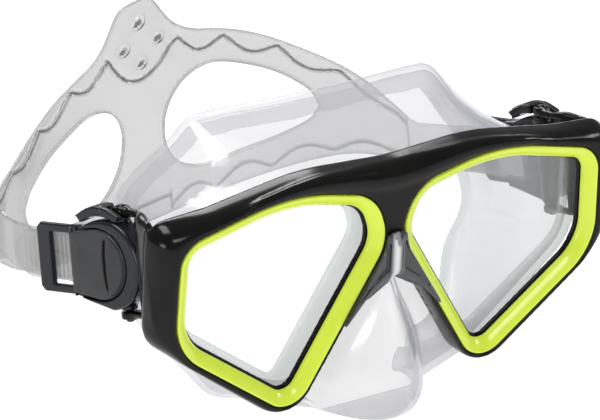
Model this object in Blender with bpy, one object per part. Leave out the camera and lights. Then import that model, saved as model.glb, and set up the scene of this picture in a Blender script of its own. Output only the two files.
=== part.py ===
"""Two-lens snorkel mask with swinging strap buckles, lever strap locks and a split head strap.

Sizes are in millimetres and become metres on the way into Blender.  +X is the viewer's right when
the lenses are seen from in front, depth grows from the lens face towards the wearer (+Y), +Z is up.
The origin is the centre of the face seal, SEAL_DEPTH behind the face of the lens trims.
"""
import math

import bmesh
import bpy
from mathutils import Matrix, Vector

MM = 0.001

# Mask front
SEAL_DEPTH = 50.0          # lens face to the origin
GAP = 0.3                  # air between neighbouring pieces
TRIM_WIDTH = 4.3
TRIM_REAR = 3.2
TRIM_SLOPE = 2.6           # how far the trim falls back towards the lens
LEDGE_FRONT = 3.5
LEDGE_REAR = 4.7
LENS_FRONT = 5.0
LENS_THICKNESS = 3.2
LENS_INSET = 1.8           # lens edge inside the trim's outer outline
FRAME_FRONT = -0.6
CLIP_FRONT = -3.0
CLIP_REAR = -1.25

# Skirt
SKIRT_FRONT = 9.9
SKIRT_WALL = 1.5
SEAL_FLANGE = 8.0          # width of the inward-turned sealing edge

# Buckles: each has its own axes, u rearward, w upward along the swing hinge, n outward
FLARE = {"left": 19.0, "right": -7.0}    # rest angle of each buckle away from straight back, deg
PITCH = 14.0               # buckle droop towards the strap, deg
LEAN = 6.5                 # top of the buckle leans inwards, deg
BUCKLE_X = 80.1            # front of the buckle axes on either side
BUCKLE_DEPTH = 18.2
BUCKLE_Z = 0.2
HINGE_U = 9.5
HINGE_N = -4.6
HINGE_PIN_R = 1.2
PIN_FIT = 0.12
SWING_ROOM = 12.0          # radius kept free of the frame round the swing hinge
KNUCKLE_R = 2.7
KNUCKLE_IN = 14.8          # half of the space between the frame's two hinge lugs
KNUCKLE_OUT = 17.6
RING_U = 13.0              # centre of the round buckle body
RING_R = 14.2
SHOULDER_R = 13.9          # the housing below the squeeze arm
BODY_IN = -6.8             # inner face, floor of the lever bowl and rim of the ring
BODY_FLOOR = -0.6
BODY_RIM = 1.5
PLATE_U = 15.4             # centre of the release lever's round end
PLATE_R = 11.0
PLATE_REAR_U = 26.6
PLATE_REAR_HALF = 9.3
PLATE_IN = -0.25
PLATE_OUT = 1.6
SLOT_REAR_U = 36.6
WELL_FRONT_U = 16.4
WELL_HALF = 8.3
BRACKET_END_U = 42.0
BRACKET_HALF = 10.9
BRACKET_N = (-3.1, -0.8)
LEVER_PIN_U = 25.9
LEVER_PIN_N = 0.65
LEVER_PIN_R = 0.45
ROLLER_U = 20.6
ROLLER_N = -3.7
ROLLER_R = 1.2

# Strap
END_THICKNESS = 1.6
END_HALF = 7.6
NECK_END_U = 64.0          # where the strap end piece meets the split strap
NECK_END_N = {"left": -12.4, "right": -8.6}
TAIL_END_U = 55.0
BAND_THICKNESS = 2.0
BAND_CENTRE_Z = -20.0
BACK_CENTRE = (-10.0, 50.0)    # plan centre of the loop round the back of the head
BACK_RADII = (87.0, 85.0)
BAND_ROLL = 8.0            # height that the loose loop loses on one side and gains on the other
WEB_HALF = 8.0             # half width of the upright web between the strap's two holes
HOLE_END = 72.0
HOLE_HALF = 17.8
TAB_RISE = 16.0
TAB_MIDDLE = -3.0

# x, z, corner radius of the trim's outer outline, clockwise from the nose side's top
LENS_CORNERS = [
    (7.6, 16.1, 14.5), (38.0, 23.3, 60.0), (76.8, 13.7, 9.9),
    (78.0, -20.8, 20.6), (34.4, -53.3, 9.2), (2.3, 0.0, 15.1)]
# Half outlines of the frame, top centre to nose notch: x, z, radius, depth
FRAME_FACE = [
    (0.0, 18.2, 30.0, -0.6), (36.0, 24.2, 50.0, -0.6), (62.0, 18.9, 60.0, -0.6), (78.2, 14.9, 9.5, -0.6),
    (79.0, -2.0, 60.0, -0.6), (79.8, -21.4, 20.0, -0.6), (34.5, -55.0, 10.0, -0.6), (0.0, 1.2, 3.0, -0.6)]
FRAME_EDGE = [
    (0.0, 24.8, 60.0, 5.5), (32.0, 26.7, 80.0, 5.5), (64.0, 21.4, 60.0, 6.5), (84.4, 20.0, 7.0, 9.9),
    (85.0, 1.0, 80.0, 9.9), (84.2, -15.0, 10.0, 9.9), (34.6, -57.4, 12.0, 5.0), (0.0, 0.6, 4.0, 3.5)]
FRAME_BACK = [
    (0.0, 22.6, 60.0, 9.5), (34.0, 24.8, 80.0, 9.5), (63.0, 19.6, 60.0, 9.5), (80.4, 15.8, 9.0, 9.5),
    (80.9, 0.0, 80.0, 9.5), (80.4, -21.0, 20.0, 9.5), (34.5, -55.6, 10.0, 9.5), (0.0, 1.0, 3.0, 9.5)]
# Half outlines of the skirt
SKIRT_FACE = [
    (0.0, 20.5, 40.0, 9.9), (36.0, 22.8, 60.0, 9.9), (77.0, 13.0, 10.0, 9.9),
    (78.0, -20.5, 20.0, 9.9), (40.0, -52.0, 12.0, 9.9), (18.0, -60.0, 10.0, 9.9), (0.0, -61.0, 20.0, 9.9)]
SKIRT_MID = [
    (0.0, 24.5, 40.0, 28.0), (38.0, 25.5, 30.0, 28.0), (70.3, 10.0, 16.0, 24.0),
    (70.3, -24.0, 24.0, 24.0), (42.0, -57.0, 16.0, 23.0), (20.0, -60.0, 12.0, 17.0), (0.0, -57.0, 20.0, 14.5)]
SKIRT_CREST = [
    (0.0, 31.0, 60.0, 46.0), (45.0, 30.0, 9.0, 49.0), (70.0, 1.0, 22.0, 55.0),
    (67.0, -30.0, 28.0, 47.0), (42.0, -63.0, 16.0, 34.0), (22.0, -62.0, 12.0, 22.0), (0.0, -55.0, 20.0, 17.5)]
# Nose pocket: height, depth of its ridge, half width where it meets the skirt's face
NOSE_SLICES = [
    (-13.6, 2.9, 4.6), (-17.0, -0.6, 6.6), (-25.0, -2.6, 10.4), (-32.0, -4.4, 14.2), (-38.5, -5.9, 17.2),
    (-44.5, -7.4, 19.4), (-50.0, -8.7, 20.8), (-55.5, -9.4, 21.2), (-60.0, -6.4, 19.0), (-62.5, 1.0, 13.0)]
NOSE_FULLNESS = 2.1


def world(point):
    """Mask millimetres (x, depth, z) to scene metres."""
    return Vector((point[0] * MM, (point[1] - SEAL_DEPTH) * MM, point[2] * MM))


def material(name, colour, roughness, metallic=0.0, alpha=1.0):
    mat = bpy.data.materials.get(name)
    if mat is None:
        mat = bpy.data.materials.new(name)
        mat.use_nodes = True
        shader = mat.node_tree.nodes["Principled BSDF"]
        shader.inputs["Base Color"].default_value = (*colour, 1.0)
        shader.inputs["Roughness"].default_value = roughness
        shader.inputs["Metallic"].default_value = metallic
        shader.inputs["Alpha"].default_value = alpha
    return mat


BLACK = ("frame_black", (0.011, 0.011, 0.010), 0.22)
GREEN = ("trim_green", (0.62, 0.84, 0.07), 0.35)
GLASS = ("lens_glass", (0.95, 0.97, 0.97), 0.03, 0.0, 0.25)
SILICONE = ("clear_silicone", (0.78, 0.78, 0.80), 0.25, 0.0, 0.45)
CLIP_GREY = ("clip_grey", (0.09, 0.10, 0.12), 0.18)
BUCKLE_GREY = ("buckle_grey", (0.035, 0.039, 0.046), 0.28)
LEVER_GREY = ("lever_grey", (0.068, 0.070, 0.073), 0.42)
STEEL = ("pin_steel", (0.62, 0.62, 0.60), 0.25, 1.0)


def build(name, bm, look, origin=(0.0, 0.0, 0.0), smooth=35.0):
    """Turn a bmesh in mask millimetres into a named object whose origin is at `origin`."""
    bmesh.ops.recalc_face_normals(bm, faces=bm.faces)
    start = world(origin)
    for vert in bm.verts:
        vert.co = world(vert.co) - start
    mesh = bpy.data.meshes.new(name)
    bm.to_mesh(mesh)
    bm.free()
    obj = bpy.data.objects.new(name, mesh)
    obj.location = start
    bpy.context.scene.collection.objects.link(obj)
    if look is None:
        obj.hide_render = True
        obj.display_type = "WIRE"
        return obj
    mesh.materials.append(material(*look))
    mesh.shade_smooth()
    mesh.set_sharp_from_angle(angle=math.radians(smooth))
    return obj


def loft(rings, capped=True, looped=False, bm=None):
    """Skin closed rings of equal length; either cap the ends or join the last ring to the first."""
    bm = bm or bmesh.new()
    rows = [[bm.verts.new(point) for point in ring] for ring in rings]
    pairs = list(zip(rows, rows[1:]))
    if looped:
        pairs.append((rows[-1], rows[0]))
    for first, second in pairs:
        count = len(first)
        for i in range(count):
            bm.faces.new((first[i], first[(i + 1) % count], second[(i + 1) % count], second[i]))
    if capped and not looped:
        bm.faces.new(rows[0])
        bm.faces.new(rows[-1][::-1])
    return bm


def boolean(obj, cutter, operation="DIFFERENCE"):
    modifier = obj.modifiers.new(cutter.name, "BOOLEAN")
    modifier.operation = operation
    modifier.solver = "EXACT"
    modifier.object = cutter


def smoothstep(t):
    t = min(max(t, 0.0), 1.0)
    return t * t * (3.0 - 2.0 * t)


def rounded(corners, arc=5, straight=1):
    """Closed outline with a fillet at each corner (x, z, radius[, depth]) as (x, z, depth) points."""
    count = len(corners)
    arcs = []
    for i, corner in enumerate(corners):
        here = Vector(corner[:2])
        back = (Vector(corners[i - 1][:2]) - here).normalized()
        ahead = (Vector(corners[(i + 1) % count][:2]) - here).normalized()
        half = 0.5 * back.angle(ahead)
        reach = corner[2] / max(math.tan(half), 1e-6)
        centre = here + (back + ahead).normalized() * (corner[2] / max(math.sin(half), 1e-6))
        start = here + back * reach - centre
        turn = math.pi - 2.0 * half
        if back.x * ahead.y - back.y * ahead.x > 0.0:
            turn = -turn
        depth = corner[3] if len(corner) > 3 else 0.0
        points = []
        for k in range(arc + 1):
            angle = turn * k / arc
            x = centre.x + start.x * math.cos(angle) - start.y * math.sin(angle)
            z = centre.y + start.x * math.sin(angle) + start.y * math.cos(angle)
            points.append((x, z, depth))
        arcs.append(points)
    outline = []
    for i in range(count):
        outline.extend(arcs[i])
        last, following = arcs[i][-1], arcs[(i + 1) % count][0]
        for k in range(1, straight + 1):
            t = k / (straight + 1)
            depth = last[2] + (following[2] - last[2]) * smoothstep(t)
            outline.append((last[0] + (following[0] - last[0]) * t, last[1] + (following[1] - last[1]) * t, depth))
    return outline


def offset(corners, distance):
    """Move every edge of a clockwise outline outwards; fillets grow with it."""
    count = len(corners)
    lines = []
    for i in range(count):
        start = Vector(corners[i][:2])
        along = (Vector(corners[(i + 1) % count][:2]) - start).normalized()
        normal = Vector((-along.y, along.x))
        lines.append((start + normal * distance, along))
    moved = []
    for i in range(count):
        (p, d), (q, e) = lines[i - 1], lines[i]
        cross = d.x * e.y - d.y * e.x
        t = ((q.x - p.x) * e.y - (q.y - p.y) * e.x) / cross
        radius = corners[i][2] + (distance if cross < 0.0 else -distance)
        moved.append((p.x + d.x * t, p.y + d.y * t, max(radius, 0.3), *corners[i][3:]))
    return moved


def whole(half):
    """Full clockwise outline from a half outline whose first and last corners lie on x = 0."""
    left = [(-x, z, radius, depth) for x, z, radius, depth in reversed(half[1:-1])]
    return half + left


def lens_ring(inset, depth, side, arc=5):
    points = rounded(offset(LENS_CORNERS, -inset), arc)
    return [(side * x, depth, z) for x, z, _ in points]


def section(corners, scale_depth=0.0, arc=5):
    return [(x, depth + scale_depth, z) for x, z, depth in rounded(corners, arc)]


# ---------------------------------------------------------------- mask front

def main_frame():
    """Black front frame: rounded walls, stepped lens pockets and two hinge lugs on each side."""
    face = section(whole(FRAME_FACE))
    edge = section(whole(FRAME_EDGE))
    back = section(whole(FRAME_BACK))
    rings = [face]
    steps = 4
    for k in range(1, steps + 1):
        angle = 0.5 * math.pi * k / steps
        out, sink = math.sin(angle), 1.0 - math.cos(angle)
        rings.append([(f[0] + (e[0] - f[0]) * out, f[1] + (e[1] - f[1]) * sink, f[2] + (e[2] - f[2]) * out)
                      for f, e in zip(face, edge)])
    rings.append([(e[0] + (b[0] - e[0]) * 0.35, max(e[1], b[1]) - 0.4, e[2] + (b[2] - e[2]) * 0.35)
                  if b[1] > e[1] + 1.0 else (e[0] * 0.99, e[1] + 0.8, e[2])
                  for e, b in zip(edge, back)])
    rings.append(back)
    frame = build("main_frame", loft(rings), BLACK)
    for label, side in (("left", -1), ("right", 1)):
        boolean(frame, side_arm(label), "UNION")
        for tag, low, high in (("upper", KNUCKLE_IN, KNUCKLE_OUT), ("lower", -KNUCKLE_OUT, -KNUCKLE_IN)):
            knuckle = neutral_cylinder(f"knuckle_{tag}_{label}", label, KNUCKLE_R, low, high)
            boolean(frame, knuckle, "UNION")
        boolean(frame, neutral_cylinder(f"swing_room_{label}", label, SWING_ROOM, -KNUCKLE_IN, KNUCKLE_IN, 32))
        boolean(frame, neutral_cylinder(f"pin_hole_{label}", label, HINGE_PIN_R + PIN_FIT, -22.0, 22.0))
        steps = [(-GAP, -4.0), (-GAP, LEDGE_FRONT), (TRIM_WIDTH + 0.8, LEDGE_FRONT), (TRIM_WIDTH + 0.8, LEDGE_REAR),
                 (LENS_INSET - GAP, LEDGE_REAR), (LENS_INSET - GAP, 16.0)]
        pocket = build(f"pocket_cut_{label}", loft([lens_ring(inset, depth, side) for inset, depth in steps]), None)
        boolean(frame, pocket)
    return frame


def side_arm(label):
    """Block behind the frame's side that carries both hinge lugs, before room for the buckle is cut."""
    rings = []
    for w, front in ((-17.5, -3.0), (-15.0, -10.3), (13.5, -10.3), (17.5, -2.5)):
        t = (HINGE_U - front) / (HINGE_U + 10.3)
        middle = 0.35 * front
        outline = [(HINGE_U, -1.95), (2.5, -1.95), (middle, -1.95 + 8.6 * t * 0.45), (front, -1.95 + 8.6 * t),
                   (front, -7.25 + 10.4 * t), (middle, -6.6 + 9.0 * t * 0.5), (6.0, -7.25), (HINGE_U, -7.25)]
        rings.append([neutral_point(label, u, w, n) for u, n in outline])
    return build(f"side_arm_{label}", loft(rings), None)


def neutral_cylinder(name, label, radius, low, high, sides=20):
    rings = [[neutral_point(label, u, w, n) for u, n in circle(HINGE_U, HINGE_N, radius, sides)] for w in (low, high)]
    return build(name, loft(rings), None)


def lens_trim(label, side):
    profile = [(0.0, FRAME_FRONT + 0.2), (0.5, FRAME_FRONT - 0.3), (TRIM_WIDTH, FRAME_FRONT - 0.3 + TRIM_SLOPE),
               (TRIM_WIDTH, TRIM_REAR), (0.0, TRIM_REAR)]
    rings = [lens_ring(inset, depth, side) for inset, depth in profile]
    build(f"lens_trim_{label}", loft(rings, looped=True), GREEN)


def lens(label, side):
    rings = [lens_ring(LENS_INSET + inset, depth, side) for inset, depth in
             ((0.4, LENS_FRONT), (0.0, LENS_FRONT + 0.4),
              (0.0, LENS_FRONT + LENS_THICKNESS - 0.4), (0.4, LENS_FRONT + LENS_THICKNESS))]
    build(f"lens_{label}", loft(rings), GLASS)


def nose_clip():
    """Grey bridge piece over the nose notch, with a raised spine and two shallow side pockets."""
    front = [(0.0, 2.9, 4.0), (3.4, 2.3, 1.2), (4.4, -3.2, 12.0), (17.6, -24.4, 0.7), (18.4, -27.0, 0.4),
             (9.2, -16.4, 14.0), (0.0, -11.4, 2.5)]
    clip = build("nose_clip", loft(mirrored_plates(front, (CLIP_FRONT, CLIP_REAR))), CLIP_GREY)
    core = [(0.0, -4.4, 1.0), (10.8, -18.6, 0.2), (9.2, -18.2, 0.2), (0.0, -12.6, 2.0)]
    boolean(clip, build("clip_core", loft(mirrored_plates(core, (CLIP_REAR - 0.4, 1.8))), None), "UNION")
    spine = [(-2.2, CLIP_REAR - 0.3), (-1.1, CLIP_FRONT - 1.2), (1.1, CLIP_FRONT - 1.2), (2.2, CLIP_REAR - 0.3)]
    ridge = build("clip_spine", loft([[(x * scale, depth, z) for x, depth in spine]
                                      for z, scale in ((2.0, 0.9), (-3.0, 1.0), (-11.1, 1.25))]), None)
    boolean(clip, ridge, "UNION")
    for side in (-1, 1):
        pocket = [(3.3, -3.6, 0.5), (9.6, -14.4, 0.4), (3.6, -10.4, 0.6)]
        cut = build(f"clip_pocket_{side}", loft([[(side * x, depth, z) for x, z, _ in rounded(pocket, 3)]
                                                 for depth in (CLIP_FRONT - 2.0, CLIP_FRONT + 1.0)]), None)
        boolean(clip, cut)


def mirrored_plates(half, depths):
    """The same outline, symmetric about x = 0, at each depth."""
    full = half + [(-x, z, radius) for x, z, radius in reversed(half[1:-1])]
    return [[(x, depth, z) for x, z, _ in rounded(full, 3)] for depth in depths]


def skirt():
    """Clear face skirt: front plate with lens openings, nose pocket, side walls and turned-in seal."""
    face, mid, crest = whole(SKIRT_FACE), whole(SKIRT_MID), whole(SKIRT_CREST)
    inner = -SKIRT_WALL
    rings = [section(face), section(mid), section(crest),
             section(offset(crest, -SEAL_FLANGE * 0.5), 2.2), section(offset(crest, -SEAL_FLANGE), 0.6),
             section(offset(crest, -SEAL_FLANGE), -0.6), section(offset(crest, -SEAL_FLANGE * 0.5), 0.8),
             section(offset(crest, inner * 1.2), -1.5), section(offset(mid, inner)),
             section(offset(face, inner), SKIRT_WALL)]
    body = build("skirt", loft(rings), SILICONE)
    pocket = build("nose_outer", loft([nose_slice(z, ridge, half, SKIRT_FRONT + 1.0) for z, ridge, half in
                                       NOSE_SLICES]), None)
    boolean(body, pocket, "UNION")
    hollow = [(z, ridge + SKIRT_WALL, half - SKIRT_WALL) for z, ridge, half in NOSE_SLICES[1:-1]]
    last = hollow[-1]
    hollow[-1] = (last[0] - 0.6, last[1], last[2])
    boolean(body, build("nose_inner", loft([nose_slice(z, ridge, half, 24.0) for z, ridge, half in hollow]), None))
    for label, side in (("left", -1), ("right", 1)):
        opening = loft([lens_ring(TRIM_WIDTH + 2.4, depth, side) for depth in (4.0, 14.0)])
        boolean(body, build(f"skirt_opening_{label}", opening, None))


def nose_slice(z, ridge, half, rear):
    """One level slice of the nose pocket: a rounded wedge from the ridge back to `rear`."""
    depth_at_face = SKIRT_FRONT + 1.0
    steps = 8
    front = []
    for k in range(-steps, steps + 1):
        t = k / steps
        front.append((half * t, ridge + (depth_at_face - ridge) * abs(t) ** NOSE_FULLNESS, z))
    return front + [(half, rear + 0.01, z), (-half, rear + 0.01, z)]


# ---------------------------------------------------------------- buckles

def axes_at(label, flare_degrees):
    """Rearward, upward and outward unit vectors of a buckle that flares by the given angle."""
    side = -1.0 if label == "left" else 1.0
    flare, pitch, lean = (math.radians(a) for a in (FLARE["left"], PITCH, LEAN))
    up = Vector((0.0, 0.0, 1.0))
    level = Vector((side * math.sin(flare), math.cos(flare), 0.0))
    out = Vector((side * math.cos(flare), -math.sin(flare), 0.0))
    rear = level * math.cos(pitch) - up * math.sin(pitch)
    rise = level * math.sin(pitch) + up * math.cos(pitch)
    hinge_up = rise * math.cos(lean) - out * math.sin(lean)
    out = rise * math.sin(lean) + out * math.cos(lean)
    swing = Matrix.Rotation(side * math.radians(FLARE["left"] - flare_degrees), 3, hinge_up)
    return swing @ rear, hinge_up, swing @ out


def hinge_centre(label):
    """Middle of the swing hinge, the same on both sides whatever the flare."""
    rear, _, out = axes_at(label, FLARE["left"])
    side = -1.0 if label == "left" else 1.0
    return Vector((side * BUCKLE_X, BUCKLE_DEPTH, BUCKLE_Z)) + rear * HINGE_U + out * HINGE_N


def point_at(label, flare_degrees, u, w, n):
    rear, rise, out = axes_at(label, flare_degrees)
    return tuple(hinge_centre(label) + rear * (u - HINGE_U) + rise * w + out * (n - HINGE_N))


def buckle_point(label, u, w, n):
    """Buckle axes at rest to mask millimetres."""
    return point_at(label, FLARE[label], u, w, n)


def neutral_point(label, u, w, n):
    """The same axes as the frame's lugs use, alike on both sides."""
    return point_at(label, FLARE["left"], u, w, n)


def buckle_prism(name, label, outline, low, high, look, origin=None):
    """Solid with a (u, w) outline between two outward levels."""
    rings = [[buckle_point(label, u, w, n) for u, w in outline] for n in (low, high)]
    return build(name, loft(rings), look, origin or tuple(hinge_centre(label)))


def circle(centre_a, centre_b, radius, sides):
    return [(centre_a + radius * math.cos(2.0 * math.pi * k / sides),
             centre_b + radius * math.sin(2.0 * math.pi * k / sides)) for k in range(sides)]


def buckle_cylinder(name, label, u, n, radius, low, high, look, sides=20):
    """Round bar along the hinge direction."""
    rings = [[buckle_point(label, a, w, b) for a, b in circle(u, n, radius, sides)] for w in (low, high)]
    return build(name, loft(rings), look, buckle_point(label, u, 0.0, n))


def arc(centre_u, radius, start, end, segments):
    """Points round (centre_u, 0); angles in degrees, 0 rearward and 90 up."""
    angles = [math.radians(start + (end - start) * k / segments) for k in range(segments + 1)]
    return [(centre_u + radius * math.cos(a), radius * math.sin(a)) for a in angles]


def rectangle(u_low, u_high, half):
    return [(u_low, -half), (u_high, -half), (u_high, half), (u_low, half)]


def body_outline(inset):
    """Round ring, a little smaller below the squeeze arm, that runs back to the strap frame."""
    half = BRACKET_HALF - 0.2 - inset
    return (arc(RING_U, RING_R - inset, 108.0, 262.0, 18) + [(22.6, -11.5 + inset), (27.5, -half)]
            + [(27.5, half), (22.4, 11.3 - inset)] + arc(RING_U, SHOULDER_R - inset, 64.0, 97.0, 6))


def buckle_housing(label):
    """Round body with a shallow bowl for the lever, a strap slot behind it and the hinge barrel."""
    rings = []
    for level, inset in ((BODY_IN, 0.7), (BODY_IN + 0.7, 0.0), (BODY_RIM - 1.5, 0.0), (BODY_RIM - 0.4, 0.5),
                         (BODY_RIM, 1.5)):
        rings.append([buckle_point(label, u, w, level) for u, w in body_outline(inset)])
    housing = build(f"buckle_housing_{label}", loft(rings), BUCKLE_GREY, tuple(hinge_centre(label)))
    bracket = [(24.0, -BRACKET_HALF), (BRACKET_END_U - 1.2, -BRACKET_HALF), (BRACKET_END_U, -BRACKET_HALF + 1.2),
               (BRACKET_END_U, BRACKET_HALF - 1.2), (BRACKET_END_U - 1.2, BRACKET_HALF), (24.0, BRACKET_HALF)]
    boolean(housing, buckle_prism(f"bracket_{label}", label, bracket, *BRACKET_N, None), "UNION")
    barrel = buckle_cylinder(f"barrel_{label}", label, HINGE_U, HINGE_N, KNUCKLE_R, -KNUCKLE_IN + GAP,
                             KNUCKLE_IN - GAP, None)
    boolean(housing, barrel, "UNION")
    bowl = arc(PLATE_U, PLATE_R + 0.4, 88.0, 272.0, 18) + [(45.0, -PLATE_REAR_HALF - 0.35), (45.0, PLATE_REAR_HALF + 0.35)]
    boolean(housing, buckle_prism(f"lever_bowl_{label}", label, bowl, BODY_FLOOR, 6.0, None))
    well = rectangle(WELL_FRONT_U, SLOT_REAR_U, WELL_HALF)
    boolean(housing, buckle_prism(f"strap_well_{label}", label, well, -12.0, 8.0, None))
    boolean(housing, buckle_cylinder(f"roller_hole_{label}", label, ROLLER_U, ROLLER_N, 0.62,
                                     -WELL_HALF - 1.0, WELL_HALF + 1.0, None, 12))
    boolean(housing, buckle_cylinder(f"lever_pin_hole_{label}", label, LEVER_PIN_U, LEVER_PIN_N, LEVER_PIN_R + 0.1,
                                     -BRACKET_HALF - 2.0, BRACKET_HALF + 2.0, None, 12))
    boolean(housing, buckle_cylinder(f"hinge_hole_{label}", label, HINGE_U, HINGE_N, HINGE_PIN_R + PIN_FIT,
                                     -KNUCKLE_OUT, KNUCKLE_OUT, None, 16))


def hinge_pin(label):
    buckle_cylinder(f"hinge_pin_{label}", label, HINGE_U, HINGE_N, HINGE_PIN_R, -KNUCKLE_OUT - 0.8,
                    KNUCKLE_OUT + 0.4, STEEL, 16)


def release_lever(label):
    """Flat D-shaped plate with a raised crescent finger lip, hinged at its straight rear edge."""
    origin = buckle_point(label, LEVER_PIN_U, 0.0, LEVER_PIN_N)
    outline = arc(PLATE_U, PLATE_R, 86.0, 274.0, 20) + [(PLATE_REAR_U, -PLATE_REAR_HALF), (PLATE_REAR_U, PLATE_REAR_HALF)]
    lever = buckle_prism(f"release_lever_{label}", label, outline, PLATE_IN, PLATE_OUT, LEVER_GREY, origin)
    crescent = arc(PLATE_U, PLATE_R - 0.5, 118.0, 242.0, 14)
    start, end = crescent[-1], crescent[0]
    for k in range(1, 9):
        t = k / 9
        crescent.append((start[0] + 0.6 * math.sin(math.pi * t), start[1] + (end[1] - start[1]) * t))
    boolean(lever, buckle_prism(f"finger_lip_{label}", label, crescent, 0.6, PLATE_OUT + 1.5, None), "UNION")
    scoop = arc(PLATE_U + 4.0, 9.4, 124.0, 236.0, 10)
    boolean(lever, buckle_prism(f"finger_scoop_{label}", label, [(u + 0.5, w) for u, w in scoop],
                                PLATE_IN + 0.7, PLATE_OUT + 3.0, None))
    boolean(lever, buckle_cylinder(f"lever_bore_{label}", label, LEVER_PIN_U, LEVER_PIN_N, LEVER_PIN_R + 0.1,
                                   -BRACKET_HALF, BRACKET_HALF, None, 12))


def lever_pin(label):
    buckle_cylinder(f"lever_pin_{label}", label, LEVER_PIN_U, LEVER_PIN_N, LEVER_PIN_R, -BRACKET_HALF + 0.3,
                    BRACKET_HALF - 0.3, STEEL, 12)


def squeeze_arm(label):
    """Curved arm above the lever that is pressed to free the strap."""
    lower, upper = [], []
    steps = 10
    for k in range(steps + 1):
        t = k / steps
        angle = math.radians(113.0 - 60.0 * t)
        inner = RING_R + GAP + 1.0 * smoothstep(t)
        outer = RING_R + 2.6 + 1.5 * smoothstep(1.6 * t)
        lower.append((RING_U + inner * math.cos(angle), inner * math.sin(angle)))
        upper.append((RING_U + outer * math.cos(angle), outer * math.sin(angle)))
    outline = lower + upper[::-1]
    arm = buckle_prism(f"squeeze_arm_{label}", label, outline, -1.4, BODY_RIM - 0.6, BUCKLE_GREY, arm_pivot(label))
    lower = [p for p in lower if p[0] > HINGE_U + KNUCKLE_R + 0.7]
    upper = [p for p in upper if p[0] > HINGE_U + KNUCKLE_R + 0.7]
    pad = [(u, w + 0.03) for u, w in lower] + [(u, w - 0.03) for u, w in upper[::-1]]
    boolean(arm, buckle_prism(f"squeeze_pad_{label}", label, pad, BODY_IN + 0.4, 0.0, None), "UNION")


def arm_pivot(label):
    """Flexing root of a squeeze arm, at its front end."""
    angle = math.radians(111.0)
    reach = RING_R + 1.4
    return buckle_point(label, RING_U + reach * math.cos(angle), reach * math.sin(angle), -3.0)


def strap_roller(label):
    """Roller with a thin journal at each end."""
    journal = 0.5
    levels = ((-WELL_HALF - 0.8, journal), (-WELL_HALF + 0.3, journal), (-WELL_HALF + 0.3, ROLLER_R),
              (WELL_HALF - 0.3, ROLLER_R), (WELL_HALF - 0.3, journal), (WELL_HALF + 0.8, journal))
    rings = [[buckle_point(label, a, w, b) for a, b in circle(ROLLER_U, ROLLER_N, radius, 16)]
             for w, radius in levels]
    build(f"strap_roller_{label}", loft(rings), BUCKLE_GREY, buckle_point(label, ROLLER_U, 0.0, ROLLER_N))


# ---------------------------------------------------------------- strap

def end_path(label):
    """Middle of the strap end in (u, n): in along the head side, round the roller, back as a tail."""
    end_n = NECK_END_N[label]
    turn = ROLLER_R + 0.25 + END_THICKNESS / 2
    inner, outer = ROLLER_N - turn, ROLLER_N + turn
    points = [(NECK_END_U, end_n)]
    for u, share in ((58.0, 0.55), (50.0, 0.19), (41.0, 0.0), (30.0, 0.0)):
        points.append((u, inner + (end_n - inner) * share))
    for k in range(9):
        angle = math.radians(-90.0 - 180.0 * k / 8)
        points.append((ROLLER_U + turn * math.cos(angle), ROLLER_N + turn * math.sin(angle)))
    return points + [(26.0, outer - 0.5), (31.0, -3.6), (34.5, -4.2), (41.0, -4.2), (48.0, -4.3),
                     (52.0, -4.6), (TAIL_END_U - 0.8, -4.85), (TAIL_END_U, -4.9)]


def strap_end(label):
    """Ribbed end of the strap, folded round the roller, its rounded tail lying on the outside."""
    path = end_path(label)
    rings = []
    for i, (u, n) in enumerate(path):
        before, after = path[max(i - 1, 0)], path[min(i + 1, len(path) - 1)]
        along = Vector((after[0] - before[0], after[1] - before[1])).normalized()
        normal = Vector((-along.y, along.x)) * (END_THICKNESS / 2)
        left_over = TAIL_END_U - u if i > len(path) - 5 else END_HALF
        half = END_HALF if left_over >= END_HALF else math.sqrt(max(END_HALF**2 - (END_HALF - left_over)**2, 9.0))
        rings.append([buckle_point(label, u + side * normal.x, w, n + side * normal.y)
                      for side, w in ((1, -half), (1, half), (-1, half), (-1, -half))])
    build(f"strap_end_{label}", loft(rings), SILICONE, tuple(hinge_centre(label)))


def band_plan():
    """Smooth plan curve of the split strap: neck on the left, round the back, neck on the right."""
    ends = []
    for label in ("left", "right"):
        slope = (NECK_END_N[label] + 6.0) / 14.0
        start = Vector(buckle_point(label, NECK_END_U + 0.5, 0.0, NECK_END_N[label] + 0.5 * slope))
        ahead = Vector(buckle_point(label, NECK_END_U + 14.0, 0.0, NECK_END_N[label] + 17.0 * slope))
        ends.append((start, ahead))
    back = []
    for degrees in (135, 113, 90, 67, 45):
        angle = math.radians(degrees)
        back.append(Vector((BACK_CENTRE[0] + BACK_RADII[0] * math.cos(angle),
                            BACK_CENTRE[1] + BACK_RADII[1] * math.sin(angle), 0.0)))
    knots = [ends[0][0], ends[0][1]] + back + [ends[1][1], ends[1][0]]
    return spline([Vector((k.x, k.y)) for k in knots], 8), ends[0][0].z, ends[1][0].z


def spline(knots, steps):
    """Catmull-Rom curve through the knots."""
    padded = [knots[0] * 2 - knots[1]] + knots + [knots[-1] * 2 - knots[-2]]
    points = []
    for i in range(1, len(padded) - 2):
        a, b, c, d = padded[i - 1:i + 3]
        for k in range(steps):
            t = k / steps
            points.append(0.5 * (2 * b + (c - a) * t + (2 * a - 5 * b + 4 * c - d) * t**2
                                 + (3 * b - a - 3 * c + d) * t**3))
    return points + [knots[-1]]


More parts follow.
